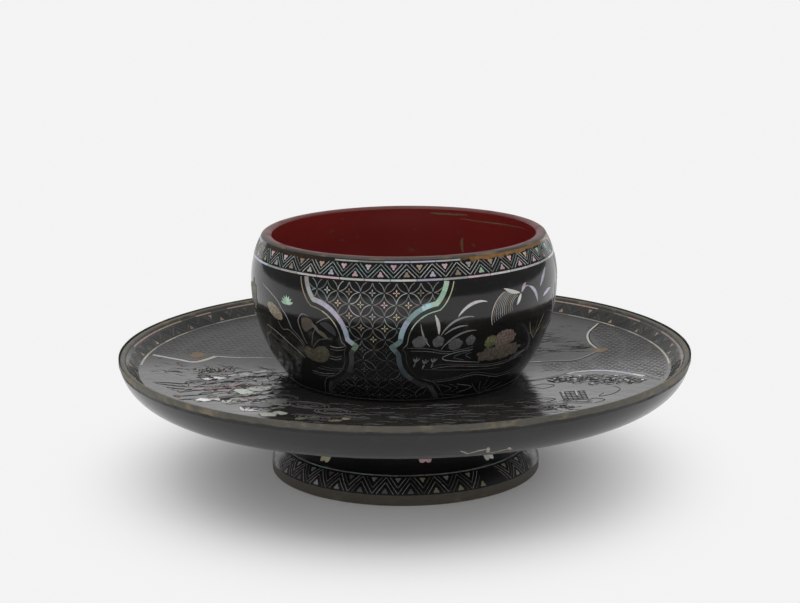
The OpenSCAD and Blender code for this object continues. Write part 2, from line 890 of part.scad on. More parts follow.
// Lays a flat piece, drawn about its own centre, at a spot
module cup_piece(turn, place) {
    p = spot(place[0], place[1]);
    cup_shell(turn, p) translate(p) children();
}

// Lays the nested rounds of a wave about a spot
module cup_wave(turn, place) {
    p = spot(place[0], place[1]);
    for (radius = [wave_r / 3, wave_r * 2 / 3, wave_r])
        on_wall(turn + p[0] / cup_at(p[1])[0] * DEG, cup_at(p[1])) bow(radius, ripple_w, 25, 130);
}

// Rock of seven rounds: [across, up, radius] as shares of its width
rock_rounds = [
    [-0.38, 0.10, 0.10], [-0.13, 0.12, 0.12], [0.13, 0.12, 0.12], [0.37, 0.08, 0.10],
    [-0.24, 0.34, 0.10], [0.02, 0.38, 0.12], [0.25, 0.33, 0.09]
];

// Bank with stones, arching grass, a rock, a plumed reed and a stream
module reed_bank(turn) {
    stones = [[-42, 0.55], [-36.7, 0.56], [-29.8, 0.52], [-24, 0.54]];
    grass = [
        [[-29.6, 0.73], [-18.7, 0.83], 1.4], [[-35.4, 0.63], [-23.9, 0.72], 1.2],
        [[-21.5, 0.54], [-13.5, 0.60], 1], [[-20.5, 0.50], [-12.5, 0.545], 0.8],
        [[-39.6, 0.62], [-43, 0.71], -0.9], [[-36.6, 0.64], [-37.6, 0.75], -0.4]
    ];
    streams = [
        [[-46, 0.475], [-39, 0.46], [-32, 0.45], [-25, 0.455], [-19, 0.44]],
        [[-46, 0.445], [-39, 0.43], [-32, 0.42], [-25, 0.425], [-19, 0.41]],
        [[-38, 0.32], [-29, 0.31], [-20, 0.32], [-11, 0.30], [-2, 0.29], [7, 0.31]],
        [[-37, 0.285], [-29, 0.275], [-20, 0.285], [-11, 0.265], [-2, 0.255], [8, 0.275]],
        [[-36, 0.22], [-27, 0.235], [-18, 0.245], [-9, 0.21], [0, 0.19], [9, 0.21]],
        [[-35, 0.185], [-27, 0.2], [-18, 0.21], [-9, 0.175], [0, 0.155], [9, 0.175]]
    ];
    for (s = stones)
        cup_piece(turn, s) circle(stone_r, $fn = 32);
    for (g = grass)
        cup_blade(turn, g[0], g[1], g[2], blade_w);
    for (s = streams)
        cup_ripple(turn, s);
    for (angle = [-43, -38.6, -34.2])
        cup_fan(turn, [angle, 0.345], [-45, 0, 45], petal_len / 2, petal_w / 2);
    for (r = rock_rounds) {
        p = spot(-9, 0.375) + bank_rock_w * [r[0], r[1]];
        cup_shell(turn, p) translate(p) circle(r[2] * bank_rock_w, $fn = 32);
    }
    cup_ripple(turn, [[-14.4, 0.62], [-10, 0.73], [-4.8, 0.82]]);
    for (k = [0:5]) {
        angle = -14.4 + 1.45 * k;
        share = 0.65 + 0.03 * k;
        cup_blade(turn, [angle, share], [angle - 4.6, share - 0.02], -ripple_bow, ripple_w);
    }
    cup_fan(turn, [-2, 0.845], [-95, -45, 5, 55], leaf_len, leaf_w);
    cup_fan(turn, [13, 0.78], [-50, 0], leaf_len, leaf_w);
    cup_fan(turn, [9, 0.51], [-56, -28, 0, 28, 56], leaf_len, leaf_w / 2);
    for (angle = [-25, -17.5, 7, 14.5])
        cup_wave(turn, [angle, 0.05]);
    cup_fan(turn, [-5.4, 0.01], [-50, -25, 0, 25, 50], leaf_len, leaf_w / 2);
    cup_piece(turn, [29, 0.5]) circle(stone_r, $fn = 32);
    cup_fan(turn, [29, 0.57], [-64, -38, -12, 14, 40], leaf_len * 1.4, leaf_w);
}

// Pond with lotus leaves, buds and blossoms on long stems
module lotus_pond(turn) {
    stems = [
        [[8, 0.87], [14, 0.755], [20.5, 0.64], [27, 0.525]], [[19.8, 0.555], [24.3, 0.51]],
        [[24.4, 0.74], [25.5, 0.665], [28.5, 0.59], [31, 0.5]], [[37, 0.59], [36.4, 0.5]],
        [[-14, 0.60], [-19, 0.5]], [[-20, 0.77], [-22.5, 0.64], [-24, 0.5]]
    ];
    water = [
        [[42, 0.49], [47, 0.5]], [[42, 0.455], [47, 0.465]], [[42.5, 0.39], [46, 0.4]],
        [[31, 0.285], [37, 0.28], [43, 0.29]], [[31, 0.25], [36, 0.245], [41, 0.255]],
        [[29, 0.2], [35, 0.19], [40, 0.2]], [[29, 0.165], [34, 0.155], [38, 0.165]],
        [[-42, 0.27], [-36, 0.26], [-30, 0.27]], [[-39, 0.2], [-31, 0.19], [-23, 0.2], [-15, 0.19]],
        [[-38, 0.165], [-31, 0.155], [-24, 0.165], [-16, 0.155]]
    ];
    for (s = stems)
        cup_ripple(turn, s);
    for (s = water)
        cup_ripple(turn, s);
    for (place = [[35.5, 0.4], [-24, 0.4]])
        cup_piece(turn, place) lotus_leaf(lotus_r);
    for (bud = [[14.4, 0.655, 38], [-12, 0.69, -30], [-34, 0.66, 20]])
        cup_piece(turn, bud) rotate(bud[2]) translate([0, -bud_len / 2]) lens(bud_len, bud_w);
    for (foot = [[24.4, 0.77], [-20, 0.81]])
        cup_fan(turn, foot, [-64, -32, 0, 32, 64], petal_len, petal_w);
    for (foot = [[37.6, 0.63], [-40, 0.5]])
        cup_fan(turn, foot, [-110, -55, 0, 55, 110], petal_len, petal_w * 1.5);
    cup_fan(turn, [-3.5, 0.66], [-45, -15, 15, 45], leaf_len, leaf_w);
    cup_fan(turn, [-3.5, 0.5], [-60, -20, 20, 60], leaf_len, leaf_w);
    cup_fan(turn, [13, 0.24], [-60, -36, -12, 12, 36, 60], leaf_len * 1.3, leaf_w);
    cup_fan(turn, [-5, 0.2], [-50, -25, 0, 25, 50], leaf_len, leaf_w);
}

module pond_scene(n) {
    color("lightsteelblue")
    if (n == PANELS)
        lotus_pond(panel_turn(n));
    else
        reed_bank(panel_turn(n));
}

// Ornament of the dish's field, drawn in plan

field_clear = field_len - fillet_w - 2 * piece_gap;

// Point of the plan: degrees from the front, positive to the viewer's right, and a share of the field
function field_spot(angle, share) =
    (cup_base_r + share * field_clear * cos(field_slope)) * [cos(FRONT + angle), sin(FRONT + angle)];

// Lays one flat piece, drawn in plan, on the field at a point of the plan
module field_shell(p) {
    turn = atan2(p[1], p[0]);
    v = (norm(p) - cup_base_r) / cos(field_slope);
    on_floor(turn, field_at(v)) shell_piece() rotate(90 - turn) translate(-p) children();
}

// Lays a flat piece, drawn with x round and y outwards about its own centre, at a place of the field
module field_piece(place, shift = [0, 0]) {
    turn = FRONT + place[0] - 90;
    round_way = [cos(turn), sin(turn)];
    outwards = [-sin(turn), cos(turn)];
    p = field_spot(place[0], place[1]) + shift[0] * round_way + shift[1] * outwards;
    field_shell(p) translate(p) rotate(turn) children();
}

// Scalloped lines that part the patterned grounds from the landscape
module dish_clouds() {
    lines = [
        [[-97, 0.97], [-95, 0.79], [-94, 0.66], [-102, 0.57], [-104, 0.42], [-108, 0.28], [-114, 0.1]],
        [[126, 0.97], [121, 0.77], [113, 0.66], [104, 0.6], [97, 0.42], [98.5, 0.28], [103, 0.1]],
        [[66, 0.1], [74, 0.23], [81, 0.38], [82, 0.51], [80.5, 0.63], [77, 0.77], [74, 0.87], [71, 0.97]],
        [[168, 0.97], [163, 0.77], [171, 0.58], [164, 0.4], [170, 0.1]],
        [[-150, 0.97], [-146, 0.77], [-154, 0.58], [-147, 0.4], [-155, 0.1]]
    ];
    color("lightcyan")
    for (spots = lines) {
        path = [for (s = spots) field_spot(s[0], s[1])];
        for (i = [0:len(path) - 2])
            field_shell((path[i] + path[i + 1]) / 2) strip_piece(path, i, cloud_w, 0);
    }
}

// Rocks of axe-cut flakes on the near half
module dish_rocks() {
    rocks = [
        [-77, 0.53], [-62, 0.72], [-64, 0.42], [-46, 0.5], [-36, 0.75], [-54, 0.2], [-36, 0.22], [-84, 0.25],
        [24, 0.78], [36, 0.35], [60, 0.26], [67, 0.66], [17, 0.25], [50, 0.85]
    ];
    step = flake_w + 2 * piece_gap;
    color("thistle")
    for (place = rocks, row = [-1:1])
        field_piece(place, [row * flake_w / 2, row * step])
            rotate(row == 0 ? 180 : 0) flake(flake_len, flake_w);
}

// Trees, scrolls and a woven fence on the near half
module dish_trees() {
    trees = [[-88, 0.62], [-73, 0.86], [-30, 0.48], [36, 0.62], [62, 0.86], [46, 0.16]];
    scrolls = [[-20, 0.26], [-18, 0.62], [-4, 0.45], [9, 0.62], [-3, 0.8]];
    fence = [52, 0.55];
    bars = 8;
    color("palegreen") {
        for (place = trees) {
            field_piece(place, [0, petal_len]) blade([0, 0], [0, 2 * petal_len], ripple_bow, blade_w);
            for (lean = [80:40:280])
                field_piece(place) rotate(lean) translate([0, fan_eye]) lens(petal_len, petal_w);
        }
        for (place = scrolls, radius = [scroll_r / 2, scroll_r * 3 / 4, scroll_r])
            on_floor(FRONT + place[0], field_at(place[1] * field_clear)) bow(radius, blade_w, 20, 140);
        for (i = [0:bars - 1])
            field_piece(fence, [(i / (bars - 1) - 0.5) * fence_w, 0])
                square([ripple_w, fence_h], center = true);
    }
}

// Small flowers on the neck of the foot
module foot_flowers() {
    // A flat flower bridges the scooped neck, so it stands out by the depth of the scoop under it
    lift = flower_r * flower_r / (2 * (neck_arc - flower_r));
    color("lightpink")
    for (i = [0:len(FLOWER_TURNS) - 1])
        on_wall(FRONT + FLOWER_TURNS[i], neck_at(flower_z + (i % 2 == 0 ? -1 : 1) * flower_stagger))
        translate([0, 0, lift])
        shell_piece()
        blossom(flower_r);
}

cup_core();
dish_core();
foot_core();
cup_black_coat();
cup_red_lining();
dish_top_coat();
dish_under_coat();
foot_black_coat();
foot_inner_coat();
cup_lip_band();
dish_lip_band();
foot_edge_band();
cup_upper_fillet();
cup_lower_fillet();
cup_base_fillet();
dish_outer_fillet();
dish_inner_fillet();
foot_fillet();
cup_fret();
dish_fret();
foot_fret();
cup_trefoils();
dish_scales();
foot_scales();
panel_frame(1);  // panel_frame_1
panel_frame(2);  // panel_frame_2
panel_frame(3);  // panel_frame_3
panel_line(1);  // panel_line_1
panel_line(2);  // panel_line_2
panel_line(3);  // panel_line_3
diaper_rings(1);  // diaper_rings_1
diaper_rings(2);  // diaper_rings_2
diaper_rings(3);  // diaper_rings_3
diaper_florets(1);  // diaper_florets_1
diaper_florets(2);  // diaper_florets_2
diaper_florets(3);  // diaper_florets_3
pond_scene(1);  // pond_scene_1
pond_scene(2);  // pond_scene_2
pond_scene(3);  // pond_scene_3
dish_clouds();
dish_rocks();
dish_trees();
foot_flowers();
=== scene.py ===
"""Looks of a tea-bowl stand: lacquer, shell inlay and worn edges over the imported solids."""
import math
import random

import bmesh
import bpy
from mathutils import Matrix, Vector, noise


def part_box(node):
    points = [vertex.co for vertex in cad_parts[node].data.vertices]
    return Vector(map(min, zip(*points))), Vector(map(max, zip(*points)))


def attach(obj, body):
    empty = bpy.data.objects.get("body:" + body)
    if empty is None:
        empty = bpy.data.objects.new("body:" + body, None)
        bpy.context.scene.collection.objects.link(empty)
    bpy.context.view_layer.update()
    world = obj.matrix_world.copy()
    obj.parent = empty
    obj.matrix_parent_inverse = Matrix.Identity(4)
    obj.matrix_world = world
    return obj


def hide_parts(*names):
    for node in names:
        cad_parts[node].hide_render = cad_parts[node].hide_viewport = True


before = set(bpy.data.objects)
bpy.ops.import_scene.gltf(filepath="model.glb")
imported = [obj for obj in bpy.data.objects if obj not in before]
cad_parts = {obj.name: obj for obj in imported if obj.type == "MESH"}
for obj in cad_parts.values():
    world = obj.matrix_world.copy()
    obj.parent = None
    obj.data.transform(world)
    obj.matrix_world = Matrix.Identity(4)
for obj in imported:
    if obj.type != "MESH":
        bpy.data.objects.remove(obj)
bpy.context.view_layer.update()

MM = 0.001
TAU = 2 * math.pi
BODY = "root"
FRONT = -90
draw = random.Random(11)


# Sizes in millimetres; the overall ones come from the frame

def reach(node):
    """Greatest radius and height of a node."""
    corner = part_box(node)[1]
    return corner.x / MM, corner.z / MM


def base_height(node):
    """Lowest height of a node."""
    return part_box(node)[0].z / MM


# Depth of the solids' black coats below the finished face, and thickness of the coats made here
GROUND = 0.28
SKIN = 0.6
dish_r, dish_lip_z = reach("dish_lip_band")
cup_lip_z = reach("cup_lip_band")[1]
foot_r, foot_edge_h = reach("foot_edge_band")
belly_r = reach("cup_black_coat")[0] + GROUND
seat_z = base_height("cup_black_coat") + GROUND
cup_band_top_z = base_height("cup_lip_band")
under_edge_z = base_height("dish_lip_band")
spigot_end_z = base_height("cup_core")

BELLY_Z = 57
SHOULDER_ARC = 26
SIDE_ARC = 43.5
CUP_WALL = 2.4
CUP_FLOOR = 2.6
LIP_SWELL = 0.05
LINING = 0.4
DISH_LIP_W = 2.1
DISH_LIP_RISE = 0.7
BRIM_RUN = 3.5
BRIM_FALL = 3.1
UNDER_ROUND = 12.5
UNDER_RISE = 0.9
UNDER_FALL = 1
SHOULDER_R = 34.6
SHOULDER_Z = 7.8
FLARE_SWELL = 0.7
NECK_R = 30.5
HOLLOW_R = 34.5
HOLLOW_H = 9
SPIGOT_R = 27
THROAT_R = 24.4
THROAT_BEVEL = 0.4
UNDER_SKIN = 0.4
UNDER_START = NECK_R + 1
UNDER_LIFT = 0.05
FOOT_ROUND = 0.8
FOOT_EDGE_W = 1.2

# Ornament
FILLET_W = 0.7
FILLET_PIECE = 7
PIECE_GAP = 0.15
CUP_BAND_W = 5
CUP_BASE_OFF = 0.9
STROKE_W = 0.3
STROKE_PITCH = 1.15
CUP_FRET = (38, 1)
DISH_FRET = (69, 0)
FOOT_FRET = (34, 2)
FRAME_W = 1.4
THIN_LINE_W = 0.28
FRAME_LINE_OFF = 2
FRAME_PIECE = 2.5
DIAPER_R = 3.25
DIAPER_W = 0.21
SPANDREL = FRONT - 11.2
PANELS = 3
PROUD = 0.05
SUNK = 0.2
LIFT = 0.03
SCORE_DROP = 0.035

# Dish, from the lip inwards
brim_r = dish_r - DISH_LIP_W
brim_z = dish_lip_z - DISH_LIP_RISE
field_r = brim_r - BRIM_RUN
field_z = brim_z - BRIM_FALL
brim_slope = math.atan2(BRIM_FALL, BRIM_RUN)
brim_len = math.hypot(BRIM_RUN, BRIM_FALL)
under_r = dish_r - UNDER_ROUND
under_c_z = dish_lip_z + UNDER_RISE
under_z = under_c_z - UNDER_ROUND
foot_top_z = under_z - UNDER_FALL

# Foot: the flaring side is an arc, and so is the scooped neck
flare_chord = math.hypot(foot_r - SHOULDER_R, SHOULDER_Z - foot_edge_h)
flare_arc = (flare_chord ** 2 / 4 + FLARE_SWELL ** 2) / (2 * FLARE_SWELL)
flare_out = ((SHOULDER_Z - foot_edge_h) / flare_chord, (foot_r - SHOULDER_R) / flare_chord)
flare_c = ((foot_r + SHOULDER_R) / 2 - flare_out[0] * (flare_arc - FLARE_SWELL),
           (foot_edge_h + SHOULDER_Z) / 2 - flare_out[1] * (flare_arc - FLARE_SWELL))
flare_a0 = math.atan2(foot_edge_h - flare_c[1], foot_r - flare_c[0])
flare_a1 = math.atan2(SHOULDER_Z - flare_c[1], SHOULDER_R - flare_c[0])
flare_len = flare_arc * (flare_a1 - flare_a0)
ledge_r = SHOULDER_R - FILLET_W
neck_mid_z = (SHOULDER_Z + foot_top_z) / 2
neck_half = foot_top_z - neck_mid_z
neck_arc = ((ledge_r - NECK_R) ** 2 + neck_half ** 2) / (2 * (ledge_r - NECK_R))


# Places on the turned surfaces: radius, height and the outward normal, by distance along the surface

def cup_at(v):
    """Side of the cup, from the belly upwards."""
    bend = SHOULDER_ARC if v >= 0 else SIDE_ARC
    c, s = math.cos(v / bend), math.sin(v / bend)
    return belly_r - bend * (1 - c), BELLY_Z + bend * s, c, s


def cup_v(z, depth=0.0):
    """Distance along the side of the cup where a layer at a depth lies at a height."""
    bend = SHOULDER_ARC if z >= BELLY_Z else SIDE_ARC
    return bend * math.asin((z - BELLY_Z) / (bend - depth))


def brim_at(v):
    """Sloping brim of the dish, from the field outwards."""
    s, c = math.sin(brim_slope), math.cos(brim_slope)
    return field_r + v * c, field_z + v * s, -s, c


cup_base_r = cup_at(cup_v(seat_z))[0]
field_fall = field_z - seat_z
field_slope = math.atan2(field_fall, field_r - cup_base_r)
field_len = math.hypot(field_r - cup_base_r, field_fall)


def field_at(v):
    """Field of the dish, from the cup outwards."""
    s, c = math.sin(field_slope), math.cos(field_slope)
    return cup_base_r + v * c, seat_z + v * s, -s, c


def flare_at(v):
    """Flaring side of the foot, from the worn edge upwards."""
    a = flare_a0 + v / flare_arc
    c, s = math.cos(a), math.sin(a)
    return flare_c[0] + flare_arc * c, flare_c[1] + flare_arc * s, c, s


def neck_at(v):
    """Scooped neck of the foot, by height above its middle."""
    a = math.asin(-v / neck_arc)
    return NECK_R + neck_arc * (1 - math.cos(a)), neck_mid_z + v, math.cos(a), math.sin(a)


def under_at(v):
    """Rounded underside of the dish, from the level upwards."""
    c, s = math.cos(v / UNDER_ROUND), math.sin(v / UNDER_ROUND)
    return under_r + UNDER_ROUND * c, under_c_z + UNDER_ROUND * s, c, s


def below_edge(v):
    """Place half a pearl line and a joint below an edge."""
    return v - FILLET_W / 2 - PIECE_GAP


cup_v_top = below_edge(cup_v(cup_band_top_z))
cup_v_fillet = cup_v_top - CUP_BAND_W
cup_v_base = cup_v(seat_z) + CUP_BASE_OFF
frame_v_top = below_edge(cup_v_fillet)
frame_v_low = cup_v_base + FILLET_W / 2 + PIECE_GAP


# Maps from a flat drawing to the surfaces

def turned_point(r, z, angle):
    """Point in metres at a radius, height and angle."""
    return r * math.cos(angle) * MM, r * math.sin(angle) * MM, z * MM


def roll(at, turn, girth=None):
    """Map from a rolled-out drawing, u round and v along the profile, to a turned surface."""
    def put(u, v, h):
        r, z, out, up = at(v)
        return turned_point(r + h * out, z + h * up, math.radians(turn) + u / (girth or r))
    return put


def lay(turn, radius):
    """Map from a flat drawing, x round and y outwards about a point, to the field of the dish."""
    def put(x, y, h):
        r = math.hypot(radius + y, x)
        _, z, out, up = field_at((r - cup_base_r) / math.cos(field_slope))
        return turned_point(r + h * out, z + h * up, math.radians(turn) + math.atan2(x, radius + y))
    return put


def plan(x, y, h):
    """Point on the field of the dish below a plan place: x to the right, y away from the viewer."""
    return lay(0, 0)(y, x, h)


# Drawing in the plane

TINY = 1e-6
FLAKE_SHAKE = 0.25
FLAKE_REACH = (0.75, 1.1)


def line(p, q, steps):
    """Points from p to q."""
    return [(p[0] + (q[0] - p[0]) * i / steps, p[1] + (q[1] - p[1]) * i / steps) for i in range(steps + 1)]


def arc(p, q, bulge, steps):
    """Points from p to q on an arc whose middle lies a bulge to the left of the line."""
    if abs(bulge) < TINY:
        return line(p, q, steps)
    half = math.dist(p, q) / 2
    way = ((q[0] - p[0]) / (2 * half), (q[1] - p[1]) / (2 * half))
    radius = (half * half + bulge * bulge) / (2 * bulge)
    shift = bulge - radius
    centre = ((p[0] + q[0]) / 2 - way[1] * shift, (p[1] + q[1]) / 2 + way[0] * shift)
    a0 = math.atan2(p[1] - centre[1], p[0] - centre[0])
    turn = -2 * math.asin(half / abs(radius)) * math.copysign(1, bulge)
    angles = [a0 + turn * i / steps for i in range(steps + 1)]
    return [(centre[0] + abs(radius) * math.cos(a), centre[1] + abs(radius) * math.sin(a)) for a in angles]


def smooth(knots, steps):
    """Smooth path through given knots."""
    ends = [knots[0], *knots, knots[-1]]
    path = []
    for a, b, c, d in zip(ends, ends[1:], ends[2:], ends[3:]):
        for i in range(steps):
            t = i / steps
            w = (-t + 2 * t * t - t ** 3, 2 - 5 * t * t + 3 * t ** 3,
                 t + 4 * t * t - 3 * t ** 3, t ** 3 - t * t)
            path.append(tuple(sum(k * p[j] for k, p in zip(w, (a, b, c, d))) / 2 for j in (0, 1)))
    return path + [tuple(knots[-1])]


def smooth_ring(knots, steps):
    """Smooth closed outline through given knots."""
    return smooth([*knots, knots[0]], steps)[:-1]


def move(points, x, y, turn=0):
    """Turns a drawing by degrees about its origin and shifts it."""
    c, s = math.cos(math.radians(turn)), math.sin(math.radians(turn))
    return [(x + px * c - py * s, y + px * s + py * c) for px, py in points]


def lobed(radius, lobes, depth, first=90, steps=6):
    """Outline with round lobes, for leaves and flowers."""
    angles = [TAU * i / (lobes * steps) for i in range(lobes * steps)]
    reaches = [radius * (1 - depth + depth * math.cos(lobes * (a - math.radians(first)))) for a in angles]
    return [(r * math.cos(a), r * math.sin(a)) for r, a in zip(reaches, angles)]


def lump(rx, ry, lobes, depth):
    """Lobed outline of a half width and a half height."""
    return [(rx * x, ry * y) for x, y in lobed(1, lobes, depth)]


def lens(length, width, steps=6):
    """Pointed leaf that stands on the origin."""
    right = arc((0, 0), (0, length), -width / 2, steps)
    left = arc((0, length), (0, 0), -width / 2, steps)
    return right[:-1] + left[:-1]


def rough(rx, ry, corners=7):
    """Irregular flake."""
    angles = [TAU * (i + draw.uniform(-FLAKE_SHAKE, FLAKE_SHAKE)) / corners for i in range(corners)]
    reaches = [(draw.uniform(*FLAKE_REACH), draw.uniform(*FLAKE_REACH)) for _ in angles]
    return [(rx * sx * math.cos(a), ry * sy * math.sin(a)) for a, (sx, sy) in zip(angles, reaches)]


def scatter(xs, ys):
    """Random place within two ranges."""
    return draw.uniform(*xs), draw.uniform(*ys)


def inside(point, outline):
    """Whether a point lies within a closed outline."""
    x, y = point
    odd = False
    for (ax, ay), (bx, by) in zip(outline, outline[1:] + outline[:1]):
        if (ay > y) != (by > y) and x < ax + (y - ay) * (bx - ax) / (by - ay):
            odd = not odd
    return odd


# Tints of the shell
WHITE = (0.68, 0.68, 0.65)
SILVER = (0.42, 0.43, 0.42)
GREY = (0.22, 0.22, 0.215)
DARK = (0.09, 0.09, 0.086)
SOOT = (0.035, 0.034, 0.032)
LILAC = (0.50, 0.47, 0.59)
SKY = (0.52, 0.62, 0.74)
BLUE = (0.36, 0.43, 0.57)
CYAN = (0.36, 0.54, 0.58)
TEAL = (0.24, 0.34, 0.34)
GREEN = (0.38, 0.56, 0.42)
PINK = (0.62, 0.45, 0.48)
ORANGE = (0.58, 0.44, 0.33)
GOLD = (0.52, 0.49, 0.32)
TAN = (0.34, 0.27, 0.20)
OLIVE = (0.20, 0.20, 0.125)
CREAM = (0.46, 0.43, 0.34)
ROSE = (0.40, 0.28, 0.25)
BRIGHT = (WHITE, SILVER, LILAC, PINK, WHITE, SILVER, SKY)
MIXED = (PINK, LILAC, SILVER, ORANGE, GREEN, TAN, PINK)
STEM = (SILVER, GREY, GREY)
STONE = (0.20, 0.20, 0.195)


def shade(tints, spread=0.18):
    """One of the tints, a little lighter or darker."""
    tint = draw.choice(tints)
    level = draw.uniform(1 - spread, 1 + spread)
    return tuple(min(1.0, c * level) for c in tint)


def ease(value, low, high):
    """Smooth step from 0 at low to 1 at high."""
    t = min(1.0, max(0.0, (value - low) / (high - low)))
    return t * t * (3 - 2 * t)


# Painted shade on the cup's shell: its tints darken from these heights down towards the dish
CUP_SHADED_LEVEL = 0.42
CUP_SHADE_HEIGHTS = (38, 57)
RING_SHADED_LEVEL = 0.65
RING_SHADE_HEIGHTS = (46, 56)


def cup_painted_shade(z):
    """Painted shade on the cup's shell: the level its tints keep at a height, lower towards the dish."""
    return CUP_SHADED_LEVEL + (1 - CUP_SHADED_LEVEL) * ease(z, *CUP_SHADE_HEIGHTS)


def ring_painted_shade(z):
    """Painted shade on the circles between the panels, deeper there than on the other pieces."""
    return cup_painted_shade(z) * (RING_SHADED_LEVEL + (1 - RING_SHADED_LEVEL) * ease(z, *RING_SHADE_HEIGHTS))


# Pieces

def piece(name, mesh, finish, nodes, sharp=40):
    """Puts a mesh on the object in place of CAD nodes."""
    mesh.materials.append(finish)
    mesh.shade_smooth()
    mesh.set_sharp_from_angle(angle=math.radians(sharp))
    made = bpy.data.objects.new(name, mesh)
    bpy.context.scene.collection.objects.link(made)
    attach(made, BODY)
    if nodes:
        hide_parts(*nodes)
    return made


PLATE_JOINT = 0.4
HONEYCOMB = 0.87
CRUSH_SHAKE = 0.15


class Inlay:
    """Gathers the thin closed plates of one layer of inlay into one mesh."""

    def __init__(self, wear_and_shade=None, lift=0.0):
        self.points = []
        self.faces = []
        self.tints = []
        self.wear_and_shade = wear_and_shade
        self.top = PROUD + lift

    def add(self, points, faces, tint):
        """Adds one closed plate."""
        start = len(self.points)
        # Painted shade: the tint is darkened by a level that the plate's height gives
        if self.wear_and_shade:
            level = self.wear_and_shade(points[0][2] / MM)
            tint = tuple(c * level for c in tint)
        self.points += points
        self.tints += [tint] * len(points)
        self.faces += [[start + i for i in face] for face in faces]

    def ribbon(self, put, near, far, tint):
        """Closed strip between two rows of points that run side by side."""
        points = []
        for a, b in zip(near, far):
            points += [put(*a, self.top), put(*b, self.top), put(*b, -SUNK), put(*a, -SUNK)]
        last = 4 * (len(near) - 1)
        faces = [[0, 1, 2, 3], [last + 3, last + 2, last + 1, last]]
        for k in range(0, last, 4):
            faces += [[k + j, k + 4 + j, k + 4 + (j + 1) % 4, k + (j + 1) % 4] for j in range(4)]
        self.add(points, faces, tint)

    def strip(self, put, path, width, tint, taper=0.0):
        """Strip of a width along a path; taper thins it towards both ends."""
        near, far = [], []
        last = len(path) - 1
        for i, (x, y) in enumerate(path):
            before, after = path[max(0, i - 1)], path[min(last, i + 1)]
            run = math.dist(before, after) or 1
            thin = 1 - taper * abs(2 * i / last - 1) ** 2
            half = width * thin / 2
            dx, dy = (after[0] - before[0]) / run * half, (after[1] - before[1]) / run * half
            near.append((x + dy, y - dx))
            far.append((x - dy, y + dx))
        self.ribbon(put, near, far, tint)

    def plate(self, put, outline, tint):
        """Flat piece whose outline can be seen whole from its middle."""
        count = len(outline)
        mx = sum(p[0] for p in outline) / count
        my = sum(p[1] for p in outline) / count
        waist = [((x + mx) / 2, (y + my) / 2) for x, y in outline]
        points = [put(*p, self.top) for p in outline + waist] + [put(*p, -SUNK) for p in outline]
        points += [put(mx, my, self.top), put(mx, my, -SUNK)]
        top, low = 3 * count, 3 * count + 1
        faces = []
        for i in range(count):
            n = (i + 1) % count
            faces += [[i, n, count + n, count + i], [count + i, count + n, top],
                      [n, i, 2 * count + i, 2 * count + n], [2 * count + n, 2 * count + i, low]]
        self.add(points, faces, tint)

    def pieces_along(self, put, path, width, tint_at, length, gap=PIECE_GAP):
        """Strip laid as short pieces end to end along a fine path, each tinted by its place."""
        run = [path[0]]
        gone = 0.0
        for a, b in zip(path, path[1:]):
            run.append(b)
            gone += math.dist(a, b)
            if gone >= length or b == path[-1]:
                cut = min(PLATE_JOINT, gap / max(gone, gap))
                head = tuple(h + (n - h) * cut for h, n in zip(run[0], run[1]))
                self.strip(put, [head, *run[1:]], width, tint_at(*head))
                run = [b]
                gone = 0.0

    def crush(self, put, outline, pitch, tints, squat=1.0):
        """Fills an outline with small flakes, as crushed shell."""
        xs = [p[0] for p in outline]
        ys = [p[1] for p in outline]
        rows = int((max(ys) - min(ys)) / (pitch * HONEYCOMB * squat)) + 1
        cols = int((max(xs) - min(xs)) / pitch) + 1
        for j in range(rows + 1):
            for i in range(cols + 1):
                x = min(xs) + (i + 0.5 * (j % 2) + draw.uniform(-CRUSH_SHAKE, CRUSH_SHAKE)) * pitch
                y = min(ys) + (j + draw.uniform(-CRUSH_SHAKE, CRUSH_SHAKE)) * pitch * HONEYCOMB * squat
                flake = rough(pitch * 0.5, pitch * 0.5 * squat, 6)
                tint = shade(tints, 0.3)
                if inside((x, y), outline):
                    self.plate(put, move(flake, x, y), tint)

    def build(self, name, finish, slot, *nodes):
        """Makes the layer one piece that stands for CAD nodes."""
        mesh = bpy.data.meshes.new(name)
        mesh.from_pydata(self.points, [], self.faces)
        shell = bmesh.new()
        shell.from_mesh(mesh)
        bmesh.ops.recalc_face_normals(shell, faces=shell.faces)
        shell.to_mesh(mesh)
        shell.free()
        layer = mesh.attributes.new("tint", "FLOAT_COLOR", "POINT")
        layer.data.foreach_set("color", [c for tint in self.tints for c in (*tint, 1.0)])
        return piece(name, mesh, finish, nodes)

    def build_shell(self, name, node):
        """Makes the layer one piece of shell that stands for a CAD node."""
        return self.build(name, pearl, "pearl_shell", node)


SEGMENTS = 288
RIPPLE_LENGTH = 10
RIPPLE_UPWARD = 0.6


def turned(name, profile, finish, slot, *nodes, ripple=0.0):
    """Revolves a closed profile of radius and height; ripple is the hand's unevenness."""
    mesh = bpy.data.meshes.new(name)
    count = len(profile)
    points = []
    for i in range(SEGMENTS):
        angle = TAU * i / SEGMENTS
        for r, z in profile:
            where = Vector((r * math.cos(angle), r * math.sin(angle), z)) / RIPPLE_LENGTH
            swell = -ripple * abs(noise.noise(where))
            points.append(turned_point(r + swell, z + swell * RIPPLE_UPWARD, angle))
    faces = []
    for i in range(SEGMENTS):
        here, there = i * count, (i + 1) % SEGMENTS * count
        for j in range(count):
            n = (j + 1) % count
            faces.append([here + j, there + j, there + n, here + n])
    mesh.from_pydata(points, [], faces)
    return piece(name, mesh, finish, nodes, sharp=30)


# Shader nodes

